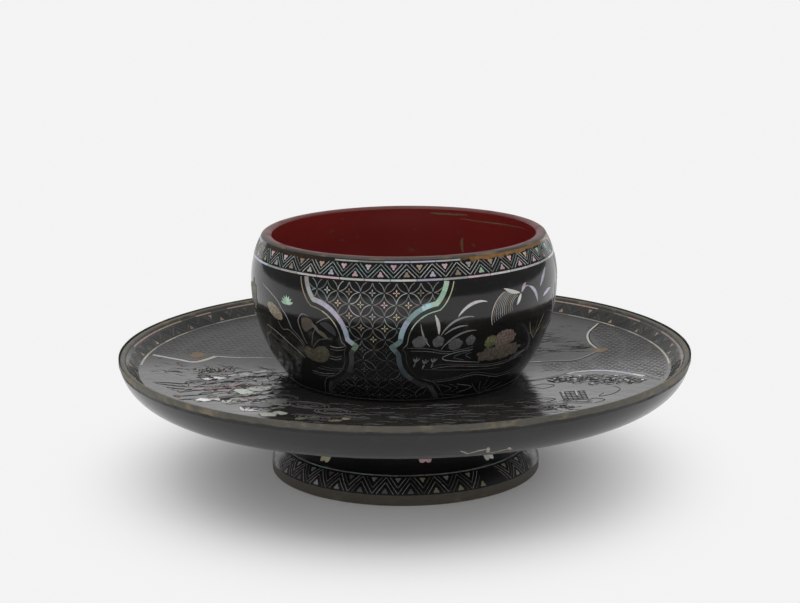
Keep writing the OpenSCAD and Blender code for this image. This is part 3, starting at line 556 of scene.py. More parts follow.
class Value:
    """Shader value whose arithmetic adds Math nodes."""

    def __init__(self, nodes, socket):
        self.nodes = nodes
        self.socket = socket

    def apply(self, operation, first, second=0.0):
        """Adds a Math node."""
        return self.nodes.node("ShaderNodeMath", {"operation": operation}, {0: first, 1: second})

    def __add__(self, other):
        return self.apply("ADD", self, other)

    def __radd__(self, other):
        return self.apply("ADD", other, self)

    def __sub__(self, other):
        return self.apply("SUBTRACT", self, other)

    def __rsub__(self, other):
        return self.apply("SUBTRACT", other, self)

    def __mul__(self, other):
        return self.apply("MULTIPLY", self, other)

    def __rmul__(self, other):
        return self.apply("MULTIPLY", other, self)

    def __abs__(self):
        return self.apply("ABSOLUTE", self)

    def ramp(self, low, high):
        """Smooth step from 0 at low to 1 at high."""
        return self.nodes.node("ShaderNodeMapRange", {"interpolation_type": "SMOOTHSTEP"},
                               {"Value": self, "From Min": low, "From Max": high})

    def ramp_mm(self, low, high):
        """Smooth step of a place between two values in millimetres."""
        return self.ramp(low * MM, high * MM)


class Nodes:
    """Node tree of a finish or of the world."""

    def __init__(self, tree):
        self.tree = tree

    def node(self, kind, settings, inputs, out=0):
        """Adds a node, sets it, feeds its sockets and returns one of its outputs."""
        made = self.tree.nodes.new(kind)
        for key, value in settings.items():
            setattr(made, key, value)
        for key, value in inputs.items():
            self.feed(made.inputs[key], value)
        return Value(self, made.outputs[out])

    def feed(self, socket, value):
        """Links a value to a socket or sets the socket's own value."""
        if isinstance(value, Value):
            self.tree.links.new(value.socket, socket)
        elif socket.type == "RGBA":
            socket.default_value = (*value[:3], 1.0)
        else:
            socket.default_value = value

    def mix(self, factor, a, b):
        """Blend of two colours."""
        return self.node("ShaderNodeMix", {"data_type": "RGBA"}, {0: factor, 6: a, 7: b}, out=2)

    def ray(self, *kinds):
        """1 for rays of any of the kinds, else 0."""
        found = [self.node("ShaderNodeLightPath", {}, {}, out=kind) for kind in kinds]
        total = sum(found[1:], found[0])
        return total.ramp(0, 1)


class Finish(Nodes):
    """Material built round one Principled shader."""

    def __init__(self, name, constants):
        self.material = bpy.data.materials.new(name)
        self.material.use_nodes = True
        super().__init__(self.material.node_tree)
        self.shader = self.tree.nodes["Principled BSDF"]
        self.set(constants)
        self.place = self.node("ShaderNodeTexCoord", {}, {}, out="Object")
        split = [self.node("ShaderNodeSeparateXYZ", {}, {0: self.place}, out=i) for i in range(3)]
        self.x, self.y, self.z = split

    def set(self, inputs):
        """Sets or feeds the shader's sockets."""
        for key, value in inputs.items():
            self.feed(self.shader.inputs[key], value)

    def grain(self, size, detail=3.0, stretch=(1, 1, 1)):
        """Noise with features of about a size in millimetres, stretched along the axes."""
        where = self.node("ShaderNodeVectorMath", {"operation": "MULTIPLY"}, {0: self.place, 1: stretch})
        return self.node("ShaderNodeTexNoise", {},
                         {"Vector": where, "Scale": 1 / (size * MM), "Detail": detail})

    def fed(self, key):
        """Value that feeds a socket of the shader."""
        return Value(self, self.shader.inputs[key].links[0].from_socket)

    def over(self, factor, colour):
        """Lays a colour over the base colour where the factor is 1."""
        self.set({"Base Color": self.mix(factor, self.fed("Base Color"), colour)})

    def radius(self, squeeze=1.0, shift=0.0):
        """Distance from the axis or a place beside it; squeeze makes it grow faster to the sides."""
        across = (self.x - shift) * squeeze
        square = across * across + self.y * self.y
        return square.apply("SQRT", square)

    def bump(self, height, strength, depth):
        """Fine relief of a depth in millimetres."""
        self.set({"Normal": self.node("ShaderNodeBump", {},
                                      {"Strength": strength, "Distance": depth * MM, "Height": height})})


# Finishes

SCUFF_BROWN = (0.04, 0.034, 0.026)
SCUFF_SHARE = 0.22
CUP_GROUND = ((0.05, 0.028, 0.013), (0.25, 0.13, 0.045))
RED_SHADES = ((0.15, 0.014, 0.013), (0.205, 0.021, 0.018))
RED_SCUFF = (0.14, 0.09, 0.06)
LIP_RED = (0.10, 0.018, 0.015)
LIP_BLACK = (0.006, 0.006, 0.006)
SCORE_SHADES = ((0.004, 0.004, 0.004), (0.016, 0.015, 0.013))
WOOD_SHADES = ((0.22, 0.13, 0.07), (0.46, 0.31, 0.19))
WARM_TINGE = (1.0, 0.78, 0.82)
COOL_TINGE = (0.74, 0.98, 0.92)
GREY_TINGE = (0.35, 0.35, 0.35)

# Where the lacquer is broken, rubbed or calm: ranges of places in millimetres, and how much
LIP_BROKEN = (70.2, 70.6)
LIP_RAGGED = 3.6
BROKEN_RIGHT = (12, 20)
BROKEN_LEFT = (10, 34)
BROKEN_LEFT_SHARE = 0.12
RUBBED_BEHIND = (-16, 14)
RUBBED_DULL = 0.3
CALM_AHEAD = (26, 38)
CALM_ASIDE = (24, 44)
CALM_SHARE = 0.8


def black_lacquer(name, dull, relief, dark=0.0025, hazy=0.0058, shine=0.5, calm=None):
    """Polished black lacquer, hazed and scuffed by use; calm tells how far a place is smoothed."""
    finish = Finish(name, {"Specular IOR Level": shine})
    haze = finish.grain(9, 4)
    fine = finish.grain(0.7, 2)
    scuff = finish.grain(3, 5).ramp(0.58, 0.78)
    black = finish.mix(haze, (dark, dark, dark), (hazy, 0.95 * hazy, 0.88 * hazy))
    finish.set({"Base Color": finish.mix(scuff * SCUFF_SHARE, black, SCUFF_BROWN),
                "Roughness": dull + haze * 0.08 + scuff * 0.12})
    uneven = fine * 0.3 + finish.grain(2.5, 3) + finish.grain(5, 2) * 2 + finish.grain(16, 2) * 5
    finish.bump(uneven * (1 - calm(finish)) if calm else uneven, relief, 0.05)
    return finish


def cup_lacquer():
    """Black lacquer of the cup, broken to the brown ground below the lip."""
    finish = black_lacquer("cup_lacquer", 0.08, 0.25, 0.004, 0.008)
    ragged = finish.grain(3.2, 4) * (LIP_RAGGED * MM)
    near_lip = (finish.z + ragged).ramp_mm(*LIP_BROKEN)
    side = finish.x.ramp_mm(*BROKEN_RIGHT) + (0 - finish.x).ramp_mm(*BROKEN_LEFT) * BROKEN_LEFT_SHARE
    finish.over(near_lip * side, finish.mix(finish.grain(1.2), *CUP_GROUND))
    return finish.material


def dish_lacquer():
    """Black lacquer of the dish's face, rubbed dull behind the cup and smooth before it."""
    def before_cup(finish):
        near = (0 - finish.y).ramp_mm(*CALM_AHEAD)
        return near * (1 - abs(finish.x).ramp_mm(*CALM_ASIDE)) * CALM_SHARE

    finish = black_lacquer("dish_lacquer", 0.1, 0.8, 0.016, 0.037, 0.44, before_cup)
    rubbed = finish.y.ramp_mm(*RUBBED_BEHIND)
    finish.set({"Roughness": finish.fed("Roughness") + rubbed * RUBBED_DULL})
    return finish.material


def red_lacquer():
    """Dark red lacquer with a few dull scuffs."""
    finish = Finish("red_lacquer", {"Specular IOR Level": 0.3})
    cloud = finish.grain(14, 4)
    scuff = finish.grain(4.5, 5, (1, 1, 2.5)).ramp(0.66, 0.73)
    red = finish.mix(cloud, *RED_SHADES)
    finish.set({"Base Color": finish.mix(scuff * 0.6, red, RED_SCUFF),
                "Roughness": 0.3 + cloud * 0.12 + scuff * 0.3})
    finish.bump(cloud * 0.5 + finish.grain(1.5), 0.15, 0.05)
    return finish.material


def worn_edge(name, brown, dark, ground):
    """Edge where the black has worn through to the brown ground; brown is the share worn bare."""
    finish = Finish(name, {"Specular IOR Level": 0.4})
    wear_and_shade = finish.grain(6, 6)
    streak = finish.grain(2.2, 4, (1, 1, 4))
    bare = wear_and_shade.ramp(0.62 - brown, 0.78 - brown)
    black = finish.mix(streak, [c * 0.35 for c in dark], dark)
    worn = finish.mix(streak, [c * 0.45 for c in ground], ground)
    finish.set({"Base Color": finish.mix(bare, black, worn), "Roughness": 0.34 + wear_and_shade * 0.2 + bare * 0.15})
    finish.bump(streak + wear_and_shade * 0.6, 0.35, 0.08)
    return finish


def cup_rim():
    """Worn lip of the cup, red on its inner half."""
    finish = worn_edge("cup_edge", 0.10, (0.055, 0.051, 0.043), (0.15, 0.112, 0.075))
    middle = cup_at(cup_v(cup_band_top_z))[0] - CUP_WALL / 2
    away = finish.radius() + finish.grain(3, 3) * (0.5 * MM)
    finish.over(1 - away.ramp_mm(middle + 0.55, middle + 0.85), LIP_RED)
    return finish.material


def dish_rim():
    """Worn lip of the dish, black again below its crest."""
    finish = worn_edge("dish_edge", 0.12, (0.085, 0.078, 0.06), (0.19, 0.155, 0.10))
    height = finish.z + finish.grain(4, 4) * (1.2 * MM)
    finish.over(1 - height.ramp_mm(dish_lip_z - 1.1, dish_lip_z - 0.6), LIP_BLACK)
    return finish.material


def pearl_shell():
    """Iridescent shell: each piece has its own tint, clouded with its neighbours' colours."""
    finish = Finish("pearl_shell", {"Metallic": 0.5, "Specular IOR Level": 0.5})
    tint = finish.node("ShaderNodeAttribute", {"attribute_name": "tint"}, {}, out="Color")
    cloud = finish.grain(1.6, 3).ramp(0.45, 0.7)
    other = finish.grain(2.6, 2).ramp(0.5, 0.75)
    lines = finish.grain(0.45, 3, (1, 1, 2.5))

    def tinged(colour, tinge, amount):
        return finish.node("ShaderNodeMix", {"data_type": "RGBA", "blend_type": "MULTIPLY"},
                           {0: amount, 6: colour, 7: tinge}, out=2)

    warm = tinged(tint, WARM_TINGE, cloud * 0.7)
    cool = tinged(warm, COOL_TINGE, other * 0.7)
    finish.set({"Base Color": tinged(cool, GREY_TINGE, lines.ramp(0.5, 0.85)),
                "Roughness": 0.28 + lines * 0.2})
    finish.bump(lines + cloud * 0.5, 0.2, 0.04)
    return finish.material


def scored_line():
    """Dull black of the fine lines cut round the flakes of shell."""
    finish = Finish("scored_line", {"Specular IOR Level": 0.15})
    grit = finish.grain(0.6, 3)
    finish.set({"Base Color": finish.mix(grit, *SCORE_SHADES), "Roughness": 0.6 + grit * 0.2})
    finish.bump(grit, 0.3, 0.04)
    return finish.material


def bare_ground(name, low, high):
    """Mottled ground shown where a flake of lacquer is lost."""
    finish = Finish(name, {"Specular IOR Level": 0.3})
    mottle = finish.grain(1.4, 4)
    finish.set({"Base Color": finish.mix(mottle, low, high), "Roughness": 0.55 + mottle * 0.2})
    finish.bump(mottle, 0.4, 0.1)
    return finish.material


def turned_wood():
    """Fine straight-grained wood, ringed by turning."""
    finish = Finish("turned_wood", {"Specular IOR Level": 0.3})
    fibre = finish.grain(1.5, 5, (1, 0.15, 1))
    finish.set({"Base Color": finish.mix(fibre, *WOOD_SHADES), "Roughness": 0.6 + fibre * 0.15})
    finish.bump(fibre, 0.2, 0.1)
    return finish.material


pearl = pearl_shell()
scored = scored_line()
lacquer_cup = cup_lacquer()
lacquer_dish = dish_lacquer()
lacquer_under = black_lacquer("under_lacquer", 0.14, 0.2).material
lacquer_foot = black_lacquer("foot_lacquer", 0.12, 0.25).material
lining_red = red_lacquer()
cup_edge = cup_rim()
dish_edge = dish_rim()
foot_edge = worn_edge("foot_edge", 0.04, (0.06, 0.051, 0.038), (0.12, 0.095, 0.06)).material
brown_ground = bare_ground("brown_ground", (0.09, 0.055, 0.03), (0.25, 0.17, 0.10))
pale_ground = bare_ground("pale_ground", (0.08, 0.075, 0.06), (0.34, 0.32, 0.27))
wood = turned_wood()

for core in ("cup_core", "dish_core", "foot_core"):
    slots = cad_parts[core].data.materials
    slots.clear()
    slots.append(wood)


# Turned surfaces

PROFILE_STEP = 1.0


def along(at, v0, v1, depth):
    """Profile points along a surface at a depth below its face."""
    steps = max(2, round(abs(v1 - v0) / PROFILE_STEP))
    places = [at(v0 + (v1 - v0) * i / steps) for i in range(steps + 1)]
    return [(r - depth * out, z - depth * up) for r, z, out, up in places]


def skin(at, v0, v1, outer, inner):
    """Closed profile of a coat between two depths."""
    return along(at, v0, v1, outer) + along(at, v1, v0, inner)


def bead(centre, radius, start, end, steps=16):
    """Points on a round from one angle to another, in degrees."""
    angles = [math.radians(start + (end - start) * i / steps) for i in range(steps + 1)]
    return [(centre[0] + radius * math.cos(a), centre[1] + radius * math.sin(a)) for a in angles]


def make_cup():
    """Black outside, red lining and worn lip of the cup."""
    low, top = cup_v(seat_z), cup_v(cup_band_top_z)
    turned("cup_lacquer", skin(cup_at, low, top, 0, SKIN), lacquer_cup, "black_lacquer", "cup_black_coat")
    floor_z = seat_z + CUP_FLOOR + LINING
    floor_low = floor_z - LINING
    behind = CUP_WALL - LINING
    wall_out = along(cup_at, cup_v(floor_low, behind), cup_v(cup_band_top_z, behind), behind)
    wall_in = along(cup_at, cup_v(cup_band_top_z, CUP_WALL), cup_v(floor_z, CUP_WALL), CUP_WALL)
    ring_in = THROAT_R - LINING
    lining = [(ring_in, spigot_end_z), (THROAT_R, spigot_end_z), (THROAT_R, floor_low)]
    lining += wall_out + wall_in
    lining += [(ring_in + THROAT_BEVEL, floor_z), (ring_in, floor_z - THROAT_BEVEL)]
    turned("cup_lining", lining, lining_red, "red_lacquer", "cup_red_lining")
    lip_out = cup_at(top)[0] + LIP_SWELL
    lip_in = wall_in[0][0] - LIP_SWELL
    lip_half = (lip_out - lip_in) / 2
    lip_h = cup_lip_z - cup_band_top_z
    lip_arc = (lip_half ** 2 + lip_h ** 2) / (2 * lip_h)
    spread = math.degrees(math.asin(lip_half / lip_arc))
    lip = bead((lip_out - lip_half, cup_lip_z - lip_arc), lip_arc, 90 - spread, 90 + spread)
    turned("cup_lip", lip, cup_edge, "worn_edge", "cup_lip_band")


def make_dish():
    """Black faces and worn lip of the dish."""
    top = along(field_at, 0, field_len, 0) + along(brim_at, 0, brim_len, 0)
    back = along(brim_at, brim_len, 0, SKIN) + along(field_at, field_len, 0, SKIN)
    turned("dish_face", top + back, lacquer_dish, "black_lacquer", "dish_top_coat")
    hug = math.asin((under_c_z - under_edge_z) / UNDER_ROUND)
    centre = (under_r, under_c_z)
    edge_angle = -math.degrees(hug)
    outer = bead(centre, UNDER_ROUND, edge_angle, -90) + [(UNDER_START, foot_top_z + UNDER_LIFT)]
    inner = [(UNDER_START, foot_top_z + UNDER_SKIN)]
    inner += bead(centre, UNDER_ROUND - UNDER_SKIN, -90, edge_angle)
    turned("dish_underside", outer + inner, lacquer_under, "black_lacquer", "dish_under_coat")
    round_r = DISH_LIP_W / 2
    crest = (dish_r - round_r, dish_lip_z - round_r)
    side = bead(centre, UNDER_ROUND, edge_angle, -3, 6)
    lip = side + bead(crest, round_r, 0, 180) + [(brim_r, under_edge_z)]
    turned("dish_lip", lip, dish_edge, "worn_edge", "dish_lip_band", ripple=0.04)


def make_foot():
    """Black sides and worn edge of the foot."""
    flare = along(flare_at, 0, flare_len, 0)
    neck = along(neck_at, -neck_half, neck_half, 0)
    inner = along(neck_at, neck_half, -neck_half, SKIN) + along(flare_at, flare_len, 0, SKIN)
    turned("foot_lacquer", flare + neck + inner, lacquer_foot, "black_lacquer", "foot_black_coat")
    inside_r = HOLLOW_R + LINING
    hollow = [(HOLLOW_R, LINING), (inside_r, LINING), (SPIGOT_R + LINING, HOLLOW_H), (SPIGOT_R, HOLLOW_H)]
    turned("foot_hollow", hollow, lacquer_foot, "black_lacquer", "foot_inner_coat")
    round_x, back_r = foot_r - FOOT_ROUND, foot_r - FOOT_EDGE_W
    edge = [(inside_r, 0), (round_x, 0)]
    edge += bead((round_x, FOOT_ROUND), FOOT_ROUND, -80, 0, 6) + [(foot_r, foot_edge_h)]
    edge += [(back_r, foot_edge_h), (back_r, LINING), (inside_r, LINING)]
    turned("foot_edge", edge, foot_edge, "worn_edge", "foot_edge_band")


make_cup()
make_dish()
make_foot()


# Pearl lines

def in_front(turn):
    """Angle from the viewer's axis, from -180 to 180, positive to the right."""
    return (turn - FRONT + 180) % 360 - 180


def pearl_line(name, at, v, width, tints, node, lost=()):
    """Ring of short pieces; pieces within the lost stretches are missing."""
    layer = Inlay()
    r = at(v)[0]
    count = round(TAU * r / FILLET_PIECE)
    for i in range(count):
        turn = 360 * i / count
        length = TAU * r / count - PIECE_GAP
        tint = shade(tints)
        middle = in_front(turn + 180 / count)
        if not any(a < middle < b for a, b in lost):
            layer.strip(roll(at, turn), line((0, v), (length, v), 6), width, tint)
    layer.build_shell(name, node)


pearl_line("cup_upper_line", cup_at, cup_v_top, 0.45, (SILVER, GREY, LILAC, SILVER), "cup_upper_fillet",
           [(22, 78), (-80, -31), (100, 130)])
pearl_line("cup_lower_line", cup_at, cup_v_fillet, 0.55, BRIGHT, "cup_lower_fillet")
# The base line's dark tint is painted shade where the cup meets the dish
pearl_line("cup_base_line", cup_at, cup_v_base, 0.5, (DARK,), "cup_base_fillet")
pearl_line("dish_outer_line", brim_at, below_edge(brim_len), 0.45, (DARK, ROSE, TAN, GREY, ROSE),
           "dish_outer_fillet", [(-30, -5), (40, 62), (-95, -60)])
pearl_line("dish_inner_line", field_at, below_edge(field_len), 0.55, (CREAM, SILVER, GREY, CREAM),
           "dish_inner_fillet", [(45, 86), (-86, -45)])
# The foot's shell keeps its hues in dimmed tints: painted shade under the dish
pearl_line("foot_line", flare_at, below_edge(flare_len), 0.4, (GREY, DARK, GREY, TEAL),
           "foot_fillet", [(38, 46)])


# Frets

def fret(name, at, low, height, turns, tints, leaf_tints, leaf, leaf_size, nodes, lost=()):
    """Zigzag of three parallel strokes, with a small leaf in each triangle."""
    strokes, leaves = Inlay(), Inlay()
    count, turn = turns
    girth = at(low + height / 2)[0]
    half = TAU * girth / count / 2
    foot = low + STROKE_W / 2 + PIECE_GAP
    rise = height - STROKE_W - 2 * PIECE_GAP
    slope = rise / half
    gap = PIECE_GAP / 2
    runs = [((gap, foot + slope * gap), (half - gap, foot + slope * (half - gap))),
            ((gap, foot + slope * (STROKE_PITCH + gap)), (half - STROKE_PITCH, foot + rise)),
            ((STROKE_PITCH, foot), (half - gap, foot + slope * (half - STROKE_PITCH - gap)))]
    inset = 2 * PIECE_GAP + leaf_size
    for i in range(count):
        here = turn + 360 * i / count
        if any(a < in_front(here) < b for a, b in lost):
            continue
        put = roll(at, here, girth)
        for side in (1, -1):
            for start, end in runs:
                path = line((side * start[0], start[1]), (side * end[0], end[1]), 3)
                below = [(u, v - STROKE_W / 2) for u, v in path]
                above = [(u, v + STROKE_W / 2) for u, v in path]
                strokes.ribbon(put, below, above, shade(tints, 0.25))
        leaves.plate(put, move(leaf, 0, low + height - inset, 180), shade(leaf_tints))
        leaves.plate(put, move(leaf, half, low + inset), shade(leaf_tints))
    strokes.build_shell(name + "_strokes", nodes[0])
    leaves.build_shell(name + "_leaves", nodes[1])


cup_low = cup_v_fillet + FILLET_W / 2
fret("cup_fret", cup_at, cup_low, cup_v_top - FILLET_W / 2 - cup_low, CUP_FRET,
     (SILVER, GREY, SILVER, TEAL, SILVER), MIXED, lobed(0.9, 3, 0.26), 0.75, ("cup_fret", "cup_trefoils"))
fret("dish_fret", brim_at, 0, brim_len - 2 * PIECE_GAP - FILLET_W, DISH_FRET,
     (SOOT, SOOT, DARK), (SOOT, DARK, TAN), lobed(0.8, 3, 0.30), 0.55, ("dish_fret", "dish_scales"))
# The foot's shell keeps its hues in dimmed tints: painted shade under the dish
fret("foot_fret", flare_at, 0, flare_len - 2 * PIECE_GAP - FILLET_W, FOOT_FRET,
     (GREY, GREY, DARK), (GREY, OLIVE, DARK), lobed(0.9, 3, 0.25), 0.7, ("foot_fret", "foot_scales"),
     [(38, 46)])


# Panels of the cup

frame_knots = [((20, frame_v_top), 0.5), ((17.4, 1.2), -2.5), ((7.3, -9.2), 0.1), ((4.8, -11), 0.1),
               ((6.6, -13.5), -2.4), ((13.9, -24.5), 0.3), ((15.2, frame_v_low), 0)]
FRAME_FINENESS = 0.35
FRAME_HEIGHTS = (1.2, -2.5, -5.5, -8.5, -12, -19.5)
DUSK = (0.14, 0.14, 0.145)
SLATE = (0.20, 0.24, 0.27)
# The lowest two bands of each side take dim tints: painted shade low on the cup
LEFT_TINTS = ((SILVER, BLUE), (LILAC,), (SKY, LILAC), (BLUE, SKY), (TEAL, GREEN), (DUSK,), (DUSK, DARK))
RIGHT_TINTS = ((GREEN, GREEN, SILVER), (TEAL, CYAN), (CYAN, BLUE), (CYAN, TEAL), (TEAL,), (SLATE,),
               (SLATE, DUSK))
# Low on the cup the inner lines take the second, dim pair of tints: painted shade
LINE_TINTS = {1: ((GOLD, GREEN), (GREY, DARK)), -1: ((TAN, GOLD), (GREY, DARK))}
LINE_SHADED_BELOW = -3
LINE_PIECE = 6
LINE_SLACK = 0.05


def frame_side():
    """Fine path down one side of a panel, for a spandrel centred on u = 0."""
    path = []
    for (p, bulge), (q, _) in zip(frame_knots, frame_knots[1:]):
        path += arc(p, q, bulge, max(2, round(math.dist(p, q) / FRAME_FINENESS)))[:-1]
    return path + [frame_knots[-1][0]]


def offset(path, distance):
    """Path at a distance to the left."""
    moved = []
    last = len(path) - 1
    for i, (x, y) in enumerate(path):
        (ax, ay), (bx, by) = path[max(0, i - 1)], path[min(last, i + 1)]
        run = math.hypot(bx - ax, by - ay)
        moved.append((x - (by - ay) / run * distance, y + (bx - ax) / run * distance))
    return moved


def inner_line(path, side):
    """Line beside a frame path, without the loop that the waist would fold into it."""
    moved = offset(path, side * FRAME_LINE_OFF)
    return [p for p in moved if min(math.dist(p, q) for q in path) > FRAME_LINE_OFF - LINE_SLACK]


side_path = frame_side()
side_fine = sorted((v, u) for u, v in side_path)


def spandrel_half(v):
    """Half width of the spandrel at a height."""
    for (v0, u0), (v1, u1) in zip(side_fine, side_fine[1:]):
        if v0 <= v <= v1:
            return u0 + (u1 - u0) * (v - v0) / max(v1 - v0, TINY)
    return side_fine[0][1]


def spandrel_turn(n):
    """Angle of the middle of a spandrel."""
    return SPANDREL + (n - 1) * 360 / PANELS


def panel_frame(n):
    """Broad frame strip and thin inner line on both sides of a panel."""
    strips, lines = Inlay(cup_painted_shade), Inlay(cup_painted_shade)
    for turn, side, rows in ((spandrel_turn(n), 1, RIGHT_TINTS), (spandrel_turn(n + 1), -1, LEFT_TINTS)):
        # Lower on the cup both tints come from dimmer rows: painted shade
        def strip_tint(u, v):
            return shade(rows[sum(v < h for h in FRAME_HEIGHTS)])

        def line_tint(u, v):
            return shade(LINE_TINTS[side][int(v < LINE_SHADED_BELOW)])

        put = roll(cup_at, turn)
        path = [(side * u, v) for u, v in side_path]
        strips.pieces_along(put, path, FRAME_W, strip_tint, FRAME_PIECE)
        lines.pieces_along(put, inner_line(path, side), THIN_LINE_W, line_tint, LINE_PIECE)
    strips.build_shell(f"panel_frame_strip_{n}", f"panel_frame_{n}")
    lines.build_shell(f"panel_inner_line_{n}", f"panel_line_{n}")


RING_TINTS = (GREY, GREY, SILVER, STONE, GREY, GREY, TEAL)
CROSS_TINTS = (SILVER, PINK, ORANGE, WHITE, TAN, GOLD)
# Crosses below the first rows take grey tints: painted shade low on the cup
SHADED_CROSS_TINTS = (GREY, DARK)
BRIGHT_ROWS = 5
DIAPER_COLUMNS = 7
FIRST_ROW = 0.9
RING_GAP = 5
RING_CLEAR = 0.1
CROSS_CLEAR = 0.5
cross_petal = [(x, y + 0.1) for x, y in lens(0.9, 0.38, 3)]


def diaper(n):
    """Interlaced circles with a small cross of four petals at each centre, cut off at the frame."""
    rings, florets = Inlay(ring_painted_shade), Inlay(cup_painted_shade)
    put = roll(cup_at, spandrel_turn(n))
    rows = int((frame_v_top - frame_v_low) / DIAPER_R) + 2

    def within(p, clear):
        between = frame_v_low + clear < p[1] < frame_v_top - clear
        return between and abs(p[0]) < spandrel_half(p[1]) - FRAME_W / 2 - clear

    for row in range(-1, rows):
        for col in range(-DIAPER_COLUMNS, DIAPER_COLUMNS + 1):
            if (row + col) % 2:
                continue
            centre = (col * DIAPER_R, frame_v_top - DIAPER_R * (row + FIRST_ROW))
            for quarter in range(4):
                path = bead(centre, DIAPER_R, 90 * quarter + RING_GAP, 90 * (quarter + 1) - RING_GAP, 12)
                kept = [p for p in path if within(p, RING_CLEAR)]
                tint = shade(RING_TINTS, 0.25)
                if len(kept) > 2:
                    rings.strip(put, kept, DIAPER_W, tint)
            # Painted shade: crosses in the lower rows take the grey tints
            tint = shade(CROSS_TINTS if row < BRIGHT_ROWS else SHADED_CROSS_TINTS, 0.2)
            if within(centre, CROSS_CLEAR):
                for petal in range(4):
                    florets.plate(put, move(cross_petal, *centre, 90 * petal), tint)
    rings.build_shell(f"diaper_circles_{n}", f"diaper_rings_{n}")
    florets.build_shell(f"diaper_crosses_{n}", f"diaper_florets_{n}")


def spot(angle, z):
    """Point of the rolled-out cup at degrees from a panel's middle and a height."""
    v = cup_v(z)
    return math.radians(angle) * cup_at(v)[0], v


class Picture:
    """Picture of one panel: plates of shell and, raised a hair above them, their small flakes."""

    def __init__(self, n):
        self.shell = Inlay(cup_painted_shade)
        self.flakes = Inlay(cup_painted_shade, LIFT)
        self.put = roll(cup_at, spandrel_turn(n) + 180 / PANELS)

    def blade(self, foot, tip, bulge, width, tints, taper=0.8):
        """Arching leaf of grass."""
        self.shell.strip(self.put, arc(spot(*foot), spot(*tip), bulge, 12), width, shade(tints), taper)

    def ripple(self, knots, width, tints):
        """Line of water or a stem through listed points."""
        self.shell.strip(self.put, smooth([spot(*k) for k in knots], 6), width, shade(tints), taper=0.5)

    def fan(self, place, leans, leaf, tints):
        """Leaves or petals that spread from one point."""
        for lean in leans:
            self.shell.plate(self.put, move(leaf, *spot(*place), lean), shade(tints))

    def mottled(self, outline, place, lean, tints, pitch=0.8, level=0.55, squat=1.0):
        """Dim plate broken up by small flakes."""
        shape = move(outline, *spot(*place), lean)
        self.shell.plate(self.put, shape, tuple(level * c for c in shade(tints)))
        self.flakes.crush(self.put, shape, pitch, tints, squat)

    def build(self, n):
        """Joins plates and flakes in one piece."""
        start = len(self.shell.points)
        self.shell.points += self.flakes.points
        self.shell.tints += self.flakes.tints
        self.shell.faces += [[start + i for i in face] for face in self.flakes.faces]
        self.shell.build_shell(f"pond_picture_{n}", f"pond_scene_{n}")


# Bank with reeds; a place is given by degrees from the panel's middle and a height
STEM_W = 0.24
FINE_STEM_W = 0.22

# Stones and rocks: place, half width, half height and, of the rocks, the tint
STONES = ((-43.3, 47.6, 2.1, 1.8), (-36.6, 47.5, 1.7, 1.7), (-30, 46.3, 2.1, 1.8), (-24.1, 47.1, 1.5, 1.5))
ROCKS = ((-15.3, 45.9, 2.1, 1.9, (0.30, 0.31, 0.15)), (-8.6, 46, 4.3, 2.7, (0.36, 0.27, 0.23)),
         (-9.6, 42, 8.2, 2.5, (0.30, 0.26, 0.21)))

# Leaves: foot, tip, bulge and, of the grass, the width
GRASS = (((-29.5, 54.1), (-18.2, 57.5), 1.6, 0.85), ((-35.7, 49.2), (-23.3, 53.7), 1.9, 0.6),
         ((-34.5, 49.3), (-25.8, 51.4), 0.8, 0.45), ((-35.4, 45.1), (-22.1, 49.8), 1.7, 0.55),
         ((-36.5, 49.6), (-38, 55.1), -0.3, 0.9), ((-39.6, 46.1), (-43, 52.7), 0.6, 0.45))
REED_LEAVES = (((-2.7, 58.3), (-10.6, 60.3), 0.3), ((-1.9, 58.3), (0.8, 60.6), 0.1),
               ((-2.2, 58), (-4.3, 55), 0.1), ((2.6, 59.4), (8.4, 54.2), 0.9),
               ((10.2, 58.3), (16.4, 62.8), 0.1), ((12.7, 55.1), (20, 56.4), 0.3))
REED_STEM = ((-0.8, 59), (0.8, 59.6), (2.6, 59.5))
PLUME_HAIRS = 11

# Tufts: the common foot, then the tips with their bulges
TUFT_FOOT = (10.5, 43.2)
TUFT = (((5, 45.6), -0.4), ((4.6, 49.1), 0.7), ((10.8, 48.6), 0.5), ((15.6, 49.7), 0.3), ((8, 47.2), 0.4),
        ((14, 46), 0.4), ((17.6, 47.2), 0.4))
LOW_TUFT_FOOT = (-10.4, 28.6)
LOW_TUFT = ((-19.1, 33.5), (-10.4, 34.3), (-5.4, 32.5), (1.4, 30.9), (-14.6, 33.4))
FAR_STONE = (31, 46)
FAR_TUFT_FOOT = (31, 47)
FAR_TUFT = ((24, 54), (28, 56.5), (33, 57.5), (37, 55.5), (40, 52))

